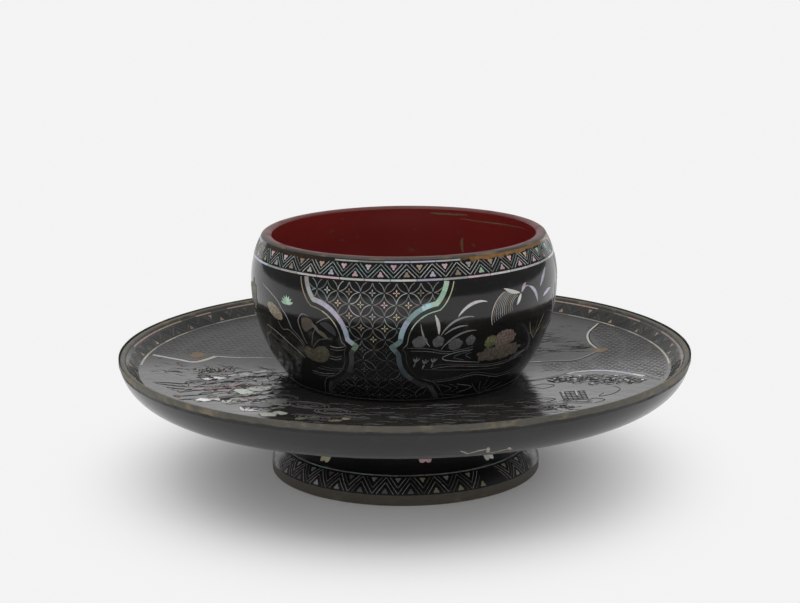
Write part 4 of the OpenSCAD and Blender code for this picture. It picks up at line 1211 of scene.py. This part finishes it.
# Small plants on the bank, then the lines of the stream
SMALL_PLANTS = ((-44.8, 41.5), (-41.4, 40.9), (-38.1, 41.2))
SMALL_PLANT_LEANS = (-34, 0, 34, 180)
EDDIES = 4
STREAM = (((-48, 45.9), (-40.2, 45.5), (-33.8, 44.4), (-29.2, 44.4), (-22.9, 45)),
          ((-46.5, 45), (-40, 44.7), (-35, 43.9), (-31, 43.6)),
          ((-22.8, 44.2), (-29.1, 43.9), (-33.7, 43), (-34.4, 42.1), (-31.2, 41.4), (-25, 40.7),
           (-18.6, 39.9)),
          ((-23.9, 43.8), (-28.4, 43.2), (-30, 42.3), (-25.7, 41.3)),
          ((-23.3, 43.4), (-25.3, 42.6), (-23, 41.6)),
          ((-38.4, 40), (-33.3, 40.5), (-21.5, 39.5), (-12.6, 38.7), (-4.4, 38.8), (2.3, 39.9), (8, 41.4)),
          ((-38, 39.4), (-30, 39.7), (-21.5, 38.9), (-12.6, 38.1), (-4.4, 38.1), (3, 39.2)),
          ((-42.3, 39.3), (-35.4, 38.9), (-26.1, 38.2), (-12.7, 37.2), (-6.5, 36.8)),
          ((-37.8, 35.5), (-30.8, 35.7), (-22.8, 36.6), (-17.6, 36.6), (-6.7, 34.6), (2, 34.6), (9, 35.4)),
          ((-37, 34.9), (-30.8, 35.1), (-22.8, 35.9), (-17.6, 35.9), (-6.7, 33.9), (3, 33.8)),
          ((-34.9, 34.2), (-28.7, 32.5), (-31.3, 31.2)), ((-30, 33.9), (-25.4, 32.4), (-28, 31)),
          ((-26.4, 33.6), (-18, 31.9), (-24.8, 30.5)), ((-36, 31), (-26, 29.8), (-16, 28.8)))


def reed_bank(art):
    """Bank with stones, arching grass, a rock, a plumed reed and a stream."""
    for angle, z, rx, ry in STONES:
        art.mottled(lump(rx, ry, 5, 0.06), (angle, z), 0, (STONE,), 0.5, 0.7)
    for foot, tip, bulge, width in GRASS:
        art.blade(foot, tip, bulge, width, (SILVER, SILVER, WHITE))
    for place in SMALL_PLANTS:
        art.fan(place, SMALL_PLANT_LEANS, lens(1.7, 0.5, 3), (SILVER,))
    for knots in STREAM:
        art.ripple(knots, STEM_W, STEM)
    for k in range(EDDIES):
        eddy = [(-4 + 1.6 * k, 38.4), (-1.4 + 1.8 * k, 39.6), (2.5 + 1.6 * k, 40.4)]
        art.ripple(eddy, FINE_STEM_W, STEM)
    for angle, z, rx, ry, tint in ROCKS:
        art.mottled(lump(rx, ry, 9, 0.06), (angle, z), 0, (tint,), 0.6, 0.6, 1.8)
    for k in range(PLUME_HAIRS):
        t = k / (PLUME_HAIRS - 1)
        start = (-10.4 + 6.6 * t, 59.4 - 1.8 * t * t)
        end = (-15.6 + 9 * t, 50.6 + 3.2 * t ** 0.7)
        art.blade(start, end, -2 + 0.9 * t, 0.16, (SILVER, WHITE, TAN), 0.4)
    for foot, tip, bulge in REED_LEAVES:
        art.blade(foot, tip, bulge, 1.1, (LILAC, LILAC, WHITE), 0.9)
    art.ripple(REED_STEM, FINE_STEM_W, (GOLD,))
    for tip, bulge in TUFT:
        art.blade(TUFT_FOOT, tip, bulge, 0.3, (OLIVE, OLIVE, GOLD))
    for tip in LOW_TUFT:
        art.blade(LOW_TUFT_FOOT, tip, 0.4, 0.3, STEM, 0.5)
    art.mottled(lump(3, 2.2, 5, 0.08), FAR_STONE, 0, (GREY, SILVER))
    for tip in FAR_TUFT:
        art.blade(FAR_TUFT_FOOT, tip, 0.8, 0.6, (SILVER, WHITE, LILAC))


# Lotus pond, placed in the same way
HEART = ((29.5, 42.8), (32.3, 44.3), (34.9, 43.7), (39.2, 45.1), (41.5, 44.1), (41.6, 42.3), (38.4, 40),
         (33.5, 39.9), (30.2, 41))
HEART_PLACE = (35.6, 42.4)
HEARTS = ((HEART_PLACE, 1), ((-24, 42.5), -1))
BUDS = (((16.2, 52.5), 68), ((-12, 53.5), -30), ((-33, 52), 20))
BUD_TINTS = ((0.40, 0.37, 0.28), (0.32, 0.28, 0.21))
BLOSSOMS = ((24.4, 55.4), (-20, 56.8))
BLOSSOM_LEANS = (-70, -44, -20, 4, 28, 52, 76)
BLOOM = ((31.4, 52.4), (34.2, 52.8), (36.2, 52.1), (36.8, 50.6), (35, 49.6), (32.6, 48.6), (31.2, 50))
BLOOM_SHIFTS = ((0, 0), (-75.6, -5.2))
BLOOM_TINT = (0.11, 0.088, 0.072)

# Leaves beside a bloom: foot, tip, bulge, width, tint and taper
BLOOM_LEAVES = (((36.2, 51.2), (38.8, 48.7), 0.2, 1.1, (0.15, 0.14, 0.14), 0.7),
                ((37.6, 49.6), (42.4, 47.4), 0.2, 1.4, (0.13, 0.125, 0.09), 0.8),
                ((39.6, 51.6), (45.6, 48.6), 0.9, 2.2, (0.05, 0.05, 0.056), 0.8))
LOTUS_STEMS = (((7.8, 59.2), (14.3, 57.5), (18.4, 55.9), (21.2, 53.8), (23.7, 51.6), (25.6, 48.6)),
               ((17.6, 49.8), (20, 47.8), (24, 48), (28.5, 45.7), (30.3, 43.6)),
               ((25.6, 48.6), (28.6, 46.8), (31, 44.2)),
               ((32.1, 45), (30.3, 48.8), (29.6, 51.6), (31.8, 53.6), (34.6, 53.3)),
               ((34.4, 44.6), (36, 48.3), (37.6, 50.3)), ((34.7, 44.1), (38.5, 46.8), (44, 47.6)),
               ((38, 51.6), (41, 53), (43.6, 53.6)), ((8, 47.4), (16, 46), (24, 43), (29, 40.4)),
               ((8.5, 45.4), (16, 43.6), (22, 40.6), (25, 37.4)), ((-12, 51), (-16, 47), (-22, 44)),
               ((-20, 56.4), (-22, 50), (-24, 44)), ((-30, 52), (-27, 48), (-25, 44)))

# Water lines: from and to which angle, at which height
WATER = ((42.7, 48.8, 45.4), (42.4, 48.6, 44.5), (42, 47.1, 42.4), (41.4, 46.8, 41.6), (36.3, 47.1, 38.6),
         (34, 45.6, 37.9), (29.9, 42, 36.5), (30, 41, 35.8), (-46, -30, 38), (-45, -28, 37.2),
         (-40, -12, 35), (-38, -14, 34.2))

# Dim leaves: place, half width, half height and lean
DIM_LEAVES = (((-3.5, 54.5), 3.4, 4.6, 0), ((21, 41.4), 2, 4.6, 50), ((14, 40), 1.8, 4.4, 40),
              ((2, 38), 4, 2.4, 0))


def lotus_pond(art):
    """Pond with lotus leaves, buds and blossoms on long stems."""
    mx, my = spot(*HEART_PLACE)
    heart = [(x - mx, y - my) for x, y in smooth_ring([spot(*k) for k in HEART], 3)]
    for place, mirror in HEARTS:
        art.mottled([(mirror * x, y) for x, y in heart], place, 0, (OLIVE, TAN, OLIVE, GREY), 0.5, 0.8)
    for place, lean in BUDS:
        art.mottled(lump(2.1, 3.9, 2, 0.04), place, lean, BUD_TINTS, 0.5, 0.8)
    for place in BLOSSOMS:
        art.fan(place, BLOSSOM_LEANS, lens(2.7, 0.75, 4), (GREEN,))
    for dx, dz in BLOOM_SHIFTS:
        bloom = smooth_ring([spot(dx + a, dz + z) for a, z in BLOOM], 3)
        art.shell.plate(art.put, bloom, BLOOM_TINT)
        for (fa, fz), (ta, tz), bulge, width, tint, taper in BLOOM_LEAVES:
            art.blade((dx + fa, dz + fz), (dx + ta, dz + tz), bulge, width, (tint,), taper)
    for knots in LOTUS_STEMS:
        art.ripple(knots, STEM_W, STEM)
    for start, end, z in WATER:
        art.ripple([(start, z), ((start + end) / 2, z - 0.25), (end, z + 0.3)], FINE_STEM_W, STEM)
    for place, rx, ry, lean in DIM_LEAVES:
        art.mottled(lump(rx, ry, 6, 0.10), place, lean, (DARK, OLIVE, DARK), 0.7, 0.9)


def pond(n):
    """Picture of one panel."""
    picture = Picture(n)
    (lotus_pond if n == PANELS else reed_bank)(picture)
    picture.build(n)


for number in range(1, PANELS + 1):
    panel_frame(number)
    diaper(number)
    pond(number)


# Field of the dish; a plan place is given in millimetres or by an angle and a radius

def ground_point(angle, r):
    """Plan place at degrees from the viewer's axis, positive to the right, and a radius."""
    a = math.radians(FRONT + angle)
    return r * math.cos(a), r * math.sin(a)


def sway(points, amount):
    """Path shaken a little, as drawn by hand."""
    return [(x + draw.uniform(-amount, amount), y + draw.uniform(-amount, amount)) for x, y in points]


scores = Inlay()
ripples = Inlay(lift=-SCORE_DROP)
SCORE_W = 0.2
SLAB_LENGTHS = (1, 1.25)
SLAB_WIDTHS = (0.65, 1.1)
SLAB_TURN = 14


def score(path, width=SCORE_W, taper=0.6):
    """Dull black line on the field, such as a flake's outline."""
    scores.strip(plan, path, width, DARK, taper)


def curl(x, y, radius, start, sweep, width, steps=6):
    """Scored arc about a place, from a start through a sweep in degrees."""
    score(move(bead((0, 0), radius, start, start + sweep, steps), x, y), width)


def slab(layer, p, q, width, tint):
    """Row of two axe-cut flakes from p to q, each with a black line round it."""
    run = math.dist(p, q) / 2
    turn = math.degrees(math.atan2(q[1] - p[1], q[0] - p[0])) - 90
    for k in range(2):
        leaf = lens(run * draw.uniform(*SLAB_LENGTHS), width * draw.uniform(*SLAB_WIDTHS), 4)
        outline = sway(leaf, width * 0.2)
        place = (p[0] + (q[0] - p[0]) * k / 2, p[1] + (q[1] - p[1]) * k / 2)
        shape = move(outline, *place, turn + draw.uniform(-SLAB_TURN, SLAB_TURN))
        layer.plate(plan, shape, shade((tint,), 0.35))
        score(shape + shape[:1], taper=0)


def wave(x, y, half, width):
    """Short scored ripple that runs across the view."""
    crest = [(-half, 0.1), (-half / 3, 0.5), (half / 3, draw.uniform(-0.7, 0)), (half, draw.uniform(0, 0.5))]
    ripples.strip(plan, move(smooth(crest, 3), x, y, draw.uniform(-16, 6)), width, DARK, 0.9)


# Cloud lines: knots by angle and radius, width and tints
CLOUD_PIECE = 7
CLOUD_LINES = ((((-97, 75), (-95, 67), (-94, 61.5), (-102, 57.5)), 1.4, (CREAM, SILVER)),
               (((-102, 57.5), (-104, 51), (-108, 45), (-114, 36)), 0.6, (GREY, SILVER)),
               (((126, 75), (121, 66), (113, 61), (104, 60)), 0.6, (SILVER, CREAM)),
               (((104, 60), (97, 51), (98.5, 45), (103, 36)), 0.6, (GREY, SILVER)),
               (((66, 37), (74, 43), (79, 47.5)), 0.6, (GREY,)),
               (((79, 47.5), (81, 49.5), (82, 55), (80.5, 60), (77, 66), (74.4, 70)), 1.6,
                (WHITE, SILVER, LILAC)),
               (((74.4, 70), (71, 75)), 0.6, (GREY,)),
               (((168, 75), (163, 66), (171, 58), (164, 50), (170, 38)), 0.7, (SILVER, GREY)),
               (((-150, 75), (-146, 66), (-154, 58), (-147, 50), (-155, 38)), 0.7, (SILVER, GREY)))


def dish_clouds():
    """Long scalloped pearl lines that part the grounds from the landscape."""
    layer = Inlay()
    for knots, width, tints in CLOUD_LINES:
        path = smooth([ground_point(*k) for k in knots], 12)
        layer.pieces_along(plan, path, width, lambda x, y: shade(tints), CLOUD_PIECE)
        score(offset(path, 0.2 + width / 2), 0.3)
    layer.build_shell("dish_cloud_lines", "dish_clouds")


# Grounds of waves: rows of points from one corner of the plan
WAVE_CORNER = (-78, -26)
WAVE_ROWS = 52
WAVE_ROW = 1.9
WAVE_STEPS = 560
WAVE_STEP = 0.28
WAVE_LENGTH = 1.9
WAVE_RISE = 0.5
WAVE_LAG = 2.4
WAVE_POINTS = 26
WAVE_REACH = 9
WAVE_WIDTHS = (0.24, 0.42)
WAVE_GROUND_R = 40
WAVE_GROUND_W = 36
LEFT_WAVES = 0.6

# Scattered waves: how many, at which angles and radii, their half lengths and width
LOOSE_WAVES = ((160, (129, 195), (37, 73), (0.4, 1.1), 0.15), (110, (106, 150), (38, 58), (1.2, 4), 0.34),
               (90, (-95, -62), (38, 73), (0.6, 2.4), 0.26))


def on_wave_ground(x, y):
    """Whether a place lies between the cloud lines at the viewer's right or behind the left one."""
    r = math.hypot(x, y)
    angle = in_front(math.degrees(math.atan2(y, x)))
    share = (r - WAVE_GROUND_R) / WAVE_GROUND_W
    at_right = 84 - 12 * share ** 3 < angle < 96 + 30 * ease(share, 0.4, 0.85)
    return 0 < share < 1 and (at_right or -165 < angle < 15 * share - 112)


def dish_grounds():
    """Scored grounds: rows of waves at the right and the left back, scattered ones elsewhere."""
    for row in range(WAVE_ROWS):
        path = []
        for step in range(WAVE_STEPS):
            x = WAVE_CORNER[0] + WAVE_STEP * step
            swing = WAVE_RISE * math.sin(TAU * x / WAVE_LENGTH + WAVE_LAG * row)
            y = WAVE_CORNER[1] + WAVE_ROW * row + swing
            here = on_wave_ground(x, y)
            if here:
                path.append((x, y))
            if len(path) > 1 and (len(path) > WAVE_POINTS or not here):
                shaken = sway(path, 0.1)
                near = [p for p in shaken if math.dist(p, shaken[-1]) < WAVE_REACH]
                width = draw.uniform(*WAVE_WIDTHS) * (1 if x > 0 else LEFT_WAVES)
                ripples.strip(plan, near, width, DARK, 0.5)
                path = []
    for count, angles, radii, halves, width in LOOSE_WAVES:
        for _ in range(count):
            wave(*ground_point(*scatter(angles, radii)), draw.uniform(*halves), width)


# Rocks: two ends, width and tint of each row of flakes
PALE = (0.50, 0.52, 0.46)
ROSY = (0.30, 0.21, 0.21)
PLAIN = (0.20, 0.20, 0.20)
CHALK = (0.80, 0.82, 0.80)
COAL = (0.02, 0.018, 0.016)
ROCK_FLAKES = (((-58, -15), (-51.5, -11), 3.0, CHALK), ((-53, -10), (-48.5, -7.5), 2.2, PALE),
               ((-49, -7), (-40, -1), 3.4, PALE), ((-51, -13), (-40, -2.5), 2.6, PLAIN),
               ((-57, -27), (-46, -16), 2.6, ROSY), ((-53, -28), (-45, -20), 2.8, ROSY),
               ((-47, -29), (-38, -21), 6.0, PALE), ((-57, -40), (-50, -36), 3.0, CHALK),
               ((-51, -36.5), (-44, -28.5), 2.6, COAL), ((-45, -38), (-41, -33), 2.4, ROSY),
               ((-41, -44), (-33, -35), 5.5, PLAIN), ((-38, -55), (-32, -49), 5.0, PALE),
               ((-42, -14), (-36, -6), 3.6, PLAIN), ((-40, -22), (-35, -18), 3.4, PLAIN),
               ((-44, -18), (-37, -13), 2.6, PLAIN), ((-60, -22), (-53, -16), 2.0, PLAIN),
               ((-63, -31), (-56, -25), 1.8, ROSY), ((-48, -34), (-40, -26), 1.8, PLAIN))
SMALL_FLAKES = 130
FLAKE_XS = (-62, -34)
FLAKE_YS = (-48, -4)
FLAKE_LEANS = (-72, -36)
FLAKE_RADII = (38, 66)
PETAL_LEANS = (-70, -40, -15, 15)
PETAL_ROCKS = ((-48.7, -42, PALE), (-43, -50, CHALK), (-36.4, -41, PALE))
LONG_STROKES = (((-71, -21.4), (-58, -21.5)), ((-70, -23), (-60, -25)), ((-63, -37), (-56, -33)),
                ((-61.5, -40), (-57, -38)), ((-66, -27), (-58, -28)), ((-68, -8), (-64, -8.4)))


def rock_strokes(p, q, width):
    """Scored strokes beside a row of flakes."""
    lean = math.atan2(q[1] - p[1], q[0] - p[0])
    for k in range(5):
        away = width * (0.6 + 0.2 * k)
        start = (p[0] + away * math.sin(lean) + 2 * k, p[1] - away * math.cos(lean) + 2 * k)
        run = draw.uniform(3, 8)
        end = (start[0] + run * math.cos(lean), start[1] + run * math.sin(lean))
        score(sway(line(start, end, 5), 0.2))


def dish_rocks():
    """Rocks of long slanting flakes at the left of the field."""
    layer = Inlay()
    for p, q, width, tint in ROCK_FLAKES:
        slab(layer, p, q, width, tint)
        rock_strokes(p, q, width)
    for k in range(SMALL_FLAKES):
        x, y = scatter(FLAKE_XS, FLAKE_YS)
        outline = sway(lens(draw.uniform(2.5, 6.5), draw.uniform(0.9, 2.6), 4), 0.35)
        shape = move(outline, x, y, draw.uniform(*FLAKE_LEANS))
        if FLAKE_RADII[0] < math.hypot(x, y) < FLAKE_RADII[1]:
            score(shape + shape[:1], 0.17, 0)
            if k % 3 == 0:
                layer.plate(plan, shape, shade((PLAIN, ROSY, PLAIN, PALE), 0.3))
    for x, y, tint in PETAL_ROCKS:
        for lean in PETAL_LEANS:
            petal = move(lens(draw.uniform(4, 6), 1.2, 4), x, y, lean)
            layer.plate(plan, petal, shade((tint,)))
            score(petal[:6], 0.3)
    for p, q in LONG_STROKES:
        score(sway(line(p, q, 8), 0.3), 0.7, 0.9)
    layer.build_shell("dish_rock_flakes", "dish_rocks")


# Near half: how many curls and waves and where they lie
LEAFY_TREE = 60
LOOSE_CURLS = 34
LOOSE_CURL_XS = (-39, -32.5)
LOOSE_CURL_YS = (-24, -4)
THICKET = 160
LOW_THICKET = 40
LOW_THICKET_XS = (33, 45)
LOW_THICKET_YS = (-51, -45)
NEAR_WAVES = 200
NEAR_WAVE_XS = (-30, 48)
NEAR_WAVE_YS = (-70, -36)
NEAR_WAVE_RADII = (36, 74)

# Ovals by place, half axes and turn, then slabs, fence posts and long curls
OVAL_STEPS = 20
OVAL_SWEEP = 5.6
OVAL_SHARES = (1, 0.8, 0.45)
OVALS = ((-26.6, -39.5, 6.5, 4, -25), (-19.5, -47, 5, 3.4, -15), (-24, -55, 5.4, 3, -20),
         (-33, -31, 3.6, 3, -30))
NEAR_SLABS = (((-20, -60), (-14.5, -55), 3, (0.50, 0.44, 0.30)),
              ((-29, -58), (-23, -54), 2.6, (0.24, 0.25, 0.18)))
FENCE_POSTS = (43.6, 47.2)
LONG_CURLS = (((57.8, -27), (59.4, -31), (57, -36), (53, -38), (54.6, -34)),
              ((36, -20), (39, -18.6), (42, -21), (39, -24), (36.4, -22)),
              ((35, -37), (38, -35.6), (41, -38), (37.6, -41), (34.6, -39)),
              ((49, -43), (51.4, -40), (54, -42.6), (51, -45.6)), ((33, -27), (36, -30), (33.6, -34)),
              ((26, -38), (31, -37), (36, -40)), ((22, -42), (29, -43.4), (36, -44.6)),
              ((14, -46), (24, -47), (33, -48.6)), ((18, -54), (25, -52.6), (31, -54)))


def left_trees(layer):
    """Leafy tree behind the rocks, loose curls by the cup, ovals and slabs before them."""
    for k in range(LEAFY_TREE):
        t = draw.random()
        x, y = -59.5 + 10 * t + draw.uniform(-1, 1), -5.2 + 4.4 * t + draw.uniform(-2.4, 2.4)
        layer.plate(plan, move(rough(0.5, 0.5, 6), x, y), shade((TAN, OLIVE, DARK, SILVER)))
        curl(x, y, 0.6, 60 * k, 200, 0.3)
    for k in range(LOOSE_CURLS):
        x, y = scatter(LOOSE_CURL_XS, LOOSE_CURL_YS)
        curl(x, y, draw.uniform(0.7, 1.5), 70 * k, draw.uniform(120, 250), 0.36, 8)
    for x, y, rx, ry, turn in OVALS:
        for share in OVAL_SHARES:
            angles = [i / OVAL_STEPS * OVAL_SWEEP for i in range(OVAL_STEPS + 1)]
            path = [(rx * share * math.cos(a), ry * share * math.sin(a)) for a in angles]
            layer.strip(plan, move(path, x, y, turn), 0.32, shade((GREY, DARK, GREY)))
    for p, q, width, tint in NEAR_SLABS:
        slab(layer, p, q, width, tint)


def right_trees(layer):
    """Thickets, a woven fence and long curls at the right."""
    for k in range(THICKET):
        t = draw.random()
        x, y = 41 + 26 * t, -14.2 - 9 * t * t + draw.uniform(-7, 4) * (1 - abs(2 * t - 1) ** 3)
        curl(x, y, draw.uniform(0.6, 1.5), 50 * k, 190, 0.09)
        if k % 9 == 0:
            layer.plate(plan, move(rough(0.6, 0.6, 6), x, y), shade((SILVER, WHITE)))
    for i in range(6):
        x, y = 43.2 + 1.3 * i, -30 - 2 * i
        score(line((x, -40.4), (x - 0.4, -29.8), 6), 0.2, 0)
        score(line((43, y), (49.8, y - 0.6), 6), 0.4, 0)
    for x in FENCE_POSTS:
        layer.strip(plan, line((x, -35), (x, -29), 4), 0.5, shade((SILVER,)))
    for knots in LONG_CURLS:
        score(smooth(knots, 6), 0.24)
    for k in range(LOW_THICKET):
        x, y = scatter(LOW_THICKET_XS, LOW_THICKET_YS)
        curl(x, y, draw.uniform(0.5, 1.0), 80 * k, 180, 0.2)


def dish_trees():
    """Trees, curls, ovals, a fence and thickets on the near half of the field, among thin waves."""
    layer = Inlay()
    left_trees(layer)
    right_trees(layer)
    for _ in range(NEAR_WAVES):
        x, y = scatter(NEAR_WAVE_XS, NEAR_WAVE_YS)
        half = draw.uniform(1, 4)
        crest = [(-half, 0), (-half / 3, 0.5), (half / 3, -0.4), (half, 0.2)]
        tint = shade((DARK, GREY, GREY, GREY), 0.3)
        if NEAR_WAVE_RADII[0] < math.hypot(x, y) < NEAR_WAVE_RADII[1]:
            layer.strip(plan, move(smooth(crest, 3), x, y, draw.uniform(-10, 10)), 0.3, tint, 0.9)
    layer.build_shell("dish_trees_and_curls", "dish_trees")


def lining_at(v):
    """Inner wall of the cup, from the belly upwards."""
    r, z, out, up = cup_at(v)
    return r - CUP_WALL * out, z - CUP_WALL * up, -out, -up


# Bare spots by angle, radius and half axes; scuffs and cracks by knots in degrees and a width
BARE_SPOTS = ((-101, 62.9, 3.4, 2.2), (104, 60.1, 2.4, 2.8), (-60, 72, 1.6, 1))
LINING_SCUFFS = ((((150, 69.4), (159, 69.3), (168, 69.4)), 0.8),
                 (((154, 67.8), (140, 67.5), (128, 67.8), (114, 68)), 0.5),
                 (((154, 61), (154.6, 58.6), (154, 56)), 0.9))
UNDER_CRACKS = ((((10.1, -43), (11, -47), (12.2, -54)), 0.6),
                (((11.9, -51), (13.6, -46.5), (15.1, -43)), 0.6),
                (((15.3, -40), (15.5, -46), (15.7, -54)), 1.0),
                (((16.1, -55), (18.1, -52), (19.7, -48)), 0.5),
                (((19.4, -45), (19.8, -48), (20.3, -52)), 0.8))


def bare_spots():
    """Brown spots on the dish and scuffs in the lining, where the lacquer has gone."""
    layer = Inlay()
    for angle, r, rx, ry in BARE_SPOTS:
        layer.plate(lay(FRONT + angle, r), rough(rx, ry, 11), GREY)
    for knots, width in LINING_SCUFFS:
        path = smooth([(math.radians(a) * belly_r, cup_v(z)) for a, z in knots], 6)
        layer.strip(roll(lining_at, FRONT, belly_r), sway(path, 0.12), width, GREY, 0.7)
    layer.build("bare_spots", brown_ground, "worn_edge")


def underside_cracks():
    """Pale cracks under the dish, by degrees round from the front and degrees below the level."""
    layer = Inlay()
    for knots, width in UNDER_CRACKS:
        path = smooth([(math.radians(a) * dish_r, math.radians(d) * UNDER_ROUND) for a, d in knots], 6)
        layer.strip(roll(under_at, FRONT, dish_r), sway(path, 0.12), width, GREY, 0.7)
    layer.build("underside_cracks", pale_ground, "worn_edge")


dish_clouds()
dish_grounds()
dish_rocks()
dish_trees()
bare_spots()
underside_cracks()
scores.build("dish_scored_lines", scored, "black_lacquer")
ripples.build("dish_scored_ripples", scored, "black_lacquer")


# Flowers on the neck of the foot
FLOWER_Z = 11.4
FLOWER_STAGGER = 0.9
PETALS = 5
FLOWERS = ((-44, GOLD), (10, PINK), (46, WHITE), (92, GOLD), (137, PINK), (182, WHITE), (227, GOLD),
           (271, PINK))


def foot_flowers():
    """Small five-petalled flowers round the neck."""
    layer = Inlay()
    for i, (angle, tint) in enumerate(FLOWERS):
        put = roll(neck_at, FRONT + angle)
        v = FLOWER_Z + FLOWER_STAGGER * (-1, 1)[i % 2] - neck_mid_z
        for petal in range(PETALS):
            layer.plate(put, move(lens(2.5, 2.0, 5), 0, v, 360 // PETALS * petal), shade((tint,)))
    layer.build_shell("foot_neck_flowers", "foot_flowers")


foot_flowers()


# Camera, from the photographed angle; sizes in millimetres and degrees
CAMERA_PLACE = (0, -556.3, 175.0)
CAMERA_DOWN = 12.749
CAMERA_YAW = -0.124
CAMERA_ROLL = -0.544
CAMERA_LENS = 88.71
SENSOR = 36
CLIP_NEAR = 0.01
CLIP_FAR = 50


def make_camera():
    """Camera at the photographed height, distance and tilt."""
    down, yaw, tilt = (math.radians(a) for a in (CAMERA_DOWN, CAMERA_YAW, CAMERA_ROLL))
    ahead = Vector((math.sin(yaw) * math.cos(down), math.cos(yaw) * math.cos(down), -math.sin(down)))
    right = Vector((math.cos(yaw), -math.sin(yaw), 0))
    up = right.cross(ahead)
    across = math.cos(tilt) * right + math.sin(tilt) * up
    upright = -math.sin(tilt) * right + math.cos(tilt) * up
    lens_data = bpy.data.cameras.new("camera")
    lens_data.lens = CAMERA_LENS
    lens_data.sensor_width = SENSOR
    lens_data.sensor_fit = "HORIZONTAL"
    lens_data.clip_start = CLIP_NEAR
    lens_data.clip_end = CLIP_FAR
    made = bpy.data.objects.new("camera", lens_data)
    bpy.context.scene.collection.objects.link(made)
    facing = Matrix((across, upright, -ahead)).transposed().to_4x4()
    made.matrix_world = Matrix.Translation(Vector(CAMERA_PLACE) * MM) @ facing
    bpy.context.scene.camera = made


# Studio, in metres
PAPER_WHITE = 0.90
FLOOR_AHEAD = 3.0
FLOOR_BEHIND = 1.0
SWEEP_ROUND = 0.7
SWEEP_STEPS = 12
WALL_TOP = 3.0
HALF_WIDTH = 1.3
EVEN_FROM = 0.05
EVEN_TO = 0.147
SHADOW_SQUEEZE = 1.3
SHADOW_SHIFT = -0.006
ROOM_LIGHT = 0.5
HORIZON_LIGHT = 2.5
HORIZON_HEIGHT = 0.5
ROOM_MIRRORED = 0.16
LAMP_POWER = 9
LAMP_SIZE = 1.5
LAMP_PLACE = (-0.1, -0.1, 1.4)


def make_studio():
    """White paper that sweeps up behind, evenly bright away from the stand."""
    angles = [math.radians(90 * i / SWEEP_STEPS) for i in range(SWEEP_STEPS + 1)]
    bend = [(FLOOR_BEHIND + SWEEP_ROUND * math.sin(a), SWEEP_ROUND * (1 - math.cos(a))) for a in angles]
    profile = [(-FLOOR_AHEAD, 0), *bend, (FLOOR_BEHIND + SWEEP_ROUND, WALL_TOP)]
    points = [(x, y, z) for y, z in profile for x in (-HALF_WIDTH, HALF_WIDTH)]
    faces = [[2 * i, 2 * i + 1, 2 * i + 3, 2 * i + 2] for i in range(len(profile) - 1)]
    mesh = bpy.data.meshes.new("paper_sweep")
    mesh.from_pydata(points, [], faces)
    mesh.shade_smooth()
    paper = Finish("studio_paper", {"Base Color": (PAPER_WHITE,) * 3, "Roughness": 0.9,
                                    "Specular IOR Level": 0.0})
    away = paper.radius(SHADOW_SQUEEZE, SHADOW_SHIFT).ramp(EVEN_FROM, EVEN_TO)
    even = away * paper.ray("Is Camera Ray", "Is Glossy Ray", "Is Transmission Ray")
    glow = paper.node("ShaderNodeEmission", {}, {"Color": (PAPER_WHITE,) * 3, "Strength": 1.0})
    lit = Value(paper, paper.shader.outputs[0])
    surface = paper.node("ShaderNodeMixShader", {}, {0: even, 1: lit, 2: glow})
    paper.feed(paper.tree.nodes["Material Output"].inputs["Surface"], surface)
    mesh.materials.append(paper.material)
    sweep = bpy.data.objects.new("paper_sweep", mesh)
    bpy.context.scene.collection.objects.link(sweep)


def make_light():
    """One broad lamp overhead in a softly lit room that the lacquer mirrors darkly."""
    lamp = bpy.data.lights.new("overhead_lamp", "AREA")
    lamp.energy = LAMP_POWER
    lamp.size = LAMP_SIZE
    made = bpy.data.objects.new("overhead_lamp", lamp)
    made.location = LAMP_PLACE
    bpy.context.scene.collection.objects.link(made)
    world = bpy.data.worlds.new("studio")
    world.use_nodes = True
    bpy.context.scene.world = world
    room = Nodes(world.node_tree)
    seen = room.ray("Is Camera Ray")
    mirrored = room.ray("Is Glossy Ray", "Is Transmission Ray")
    facing = room.node("ShaderNodeTexCoord", {}, {}, out="Generated")
    height = abs(room.node("ShaderNodeSeparateXYZ", {}, {0: facing}, out=2))
    light = ROOM_LIGHT + HORIZON_LIGHT * (1 - height.ramp(0, HORIZON_HEIGHT))
    strength = seen * PAPER_WHITE + mirrored * ROOM_MIRRORED + (1 - seen - mirrored) * light
    back = world.node_tree.nodes["Background"]
    room.feed(back.inputs["Color"], (1.0, 1.0, 1.0))
    room.feed(back.inputs["Strength"], strength)


make_camera()
make_studio()
make_light()
bpy.context.scene.view_settings.view_transform = "Standard"
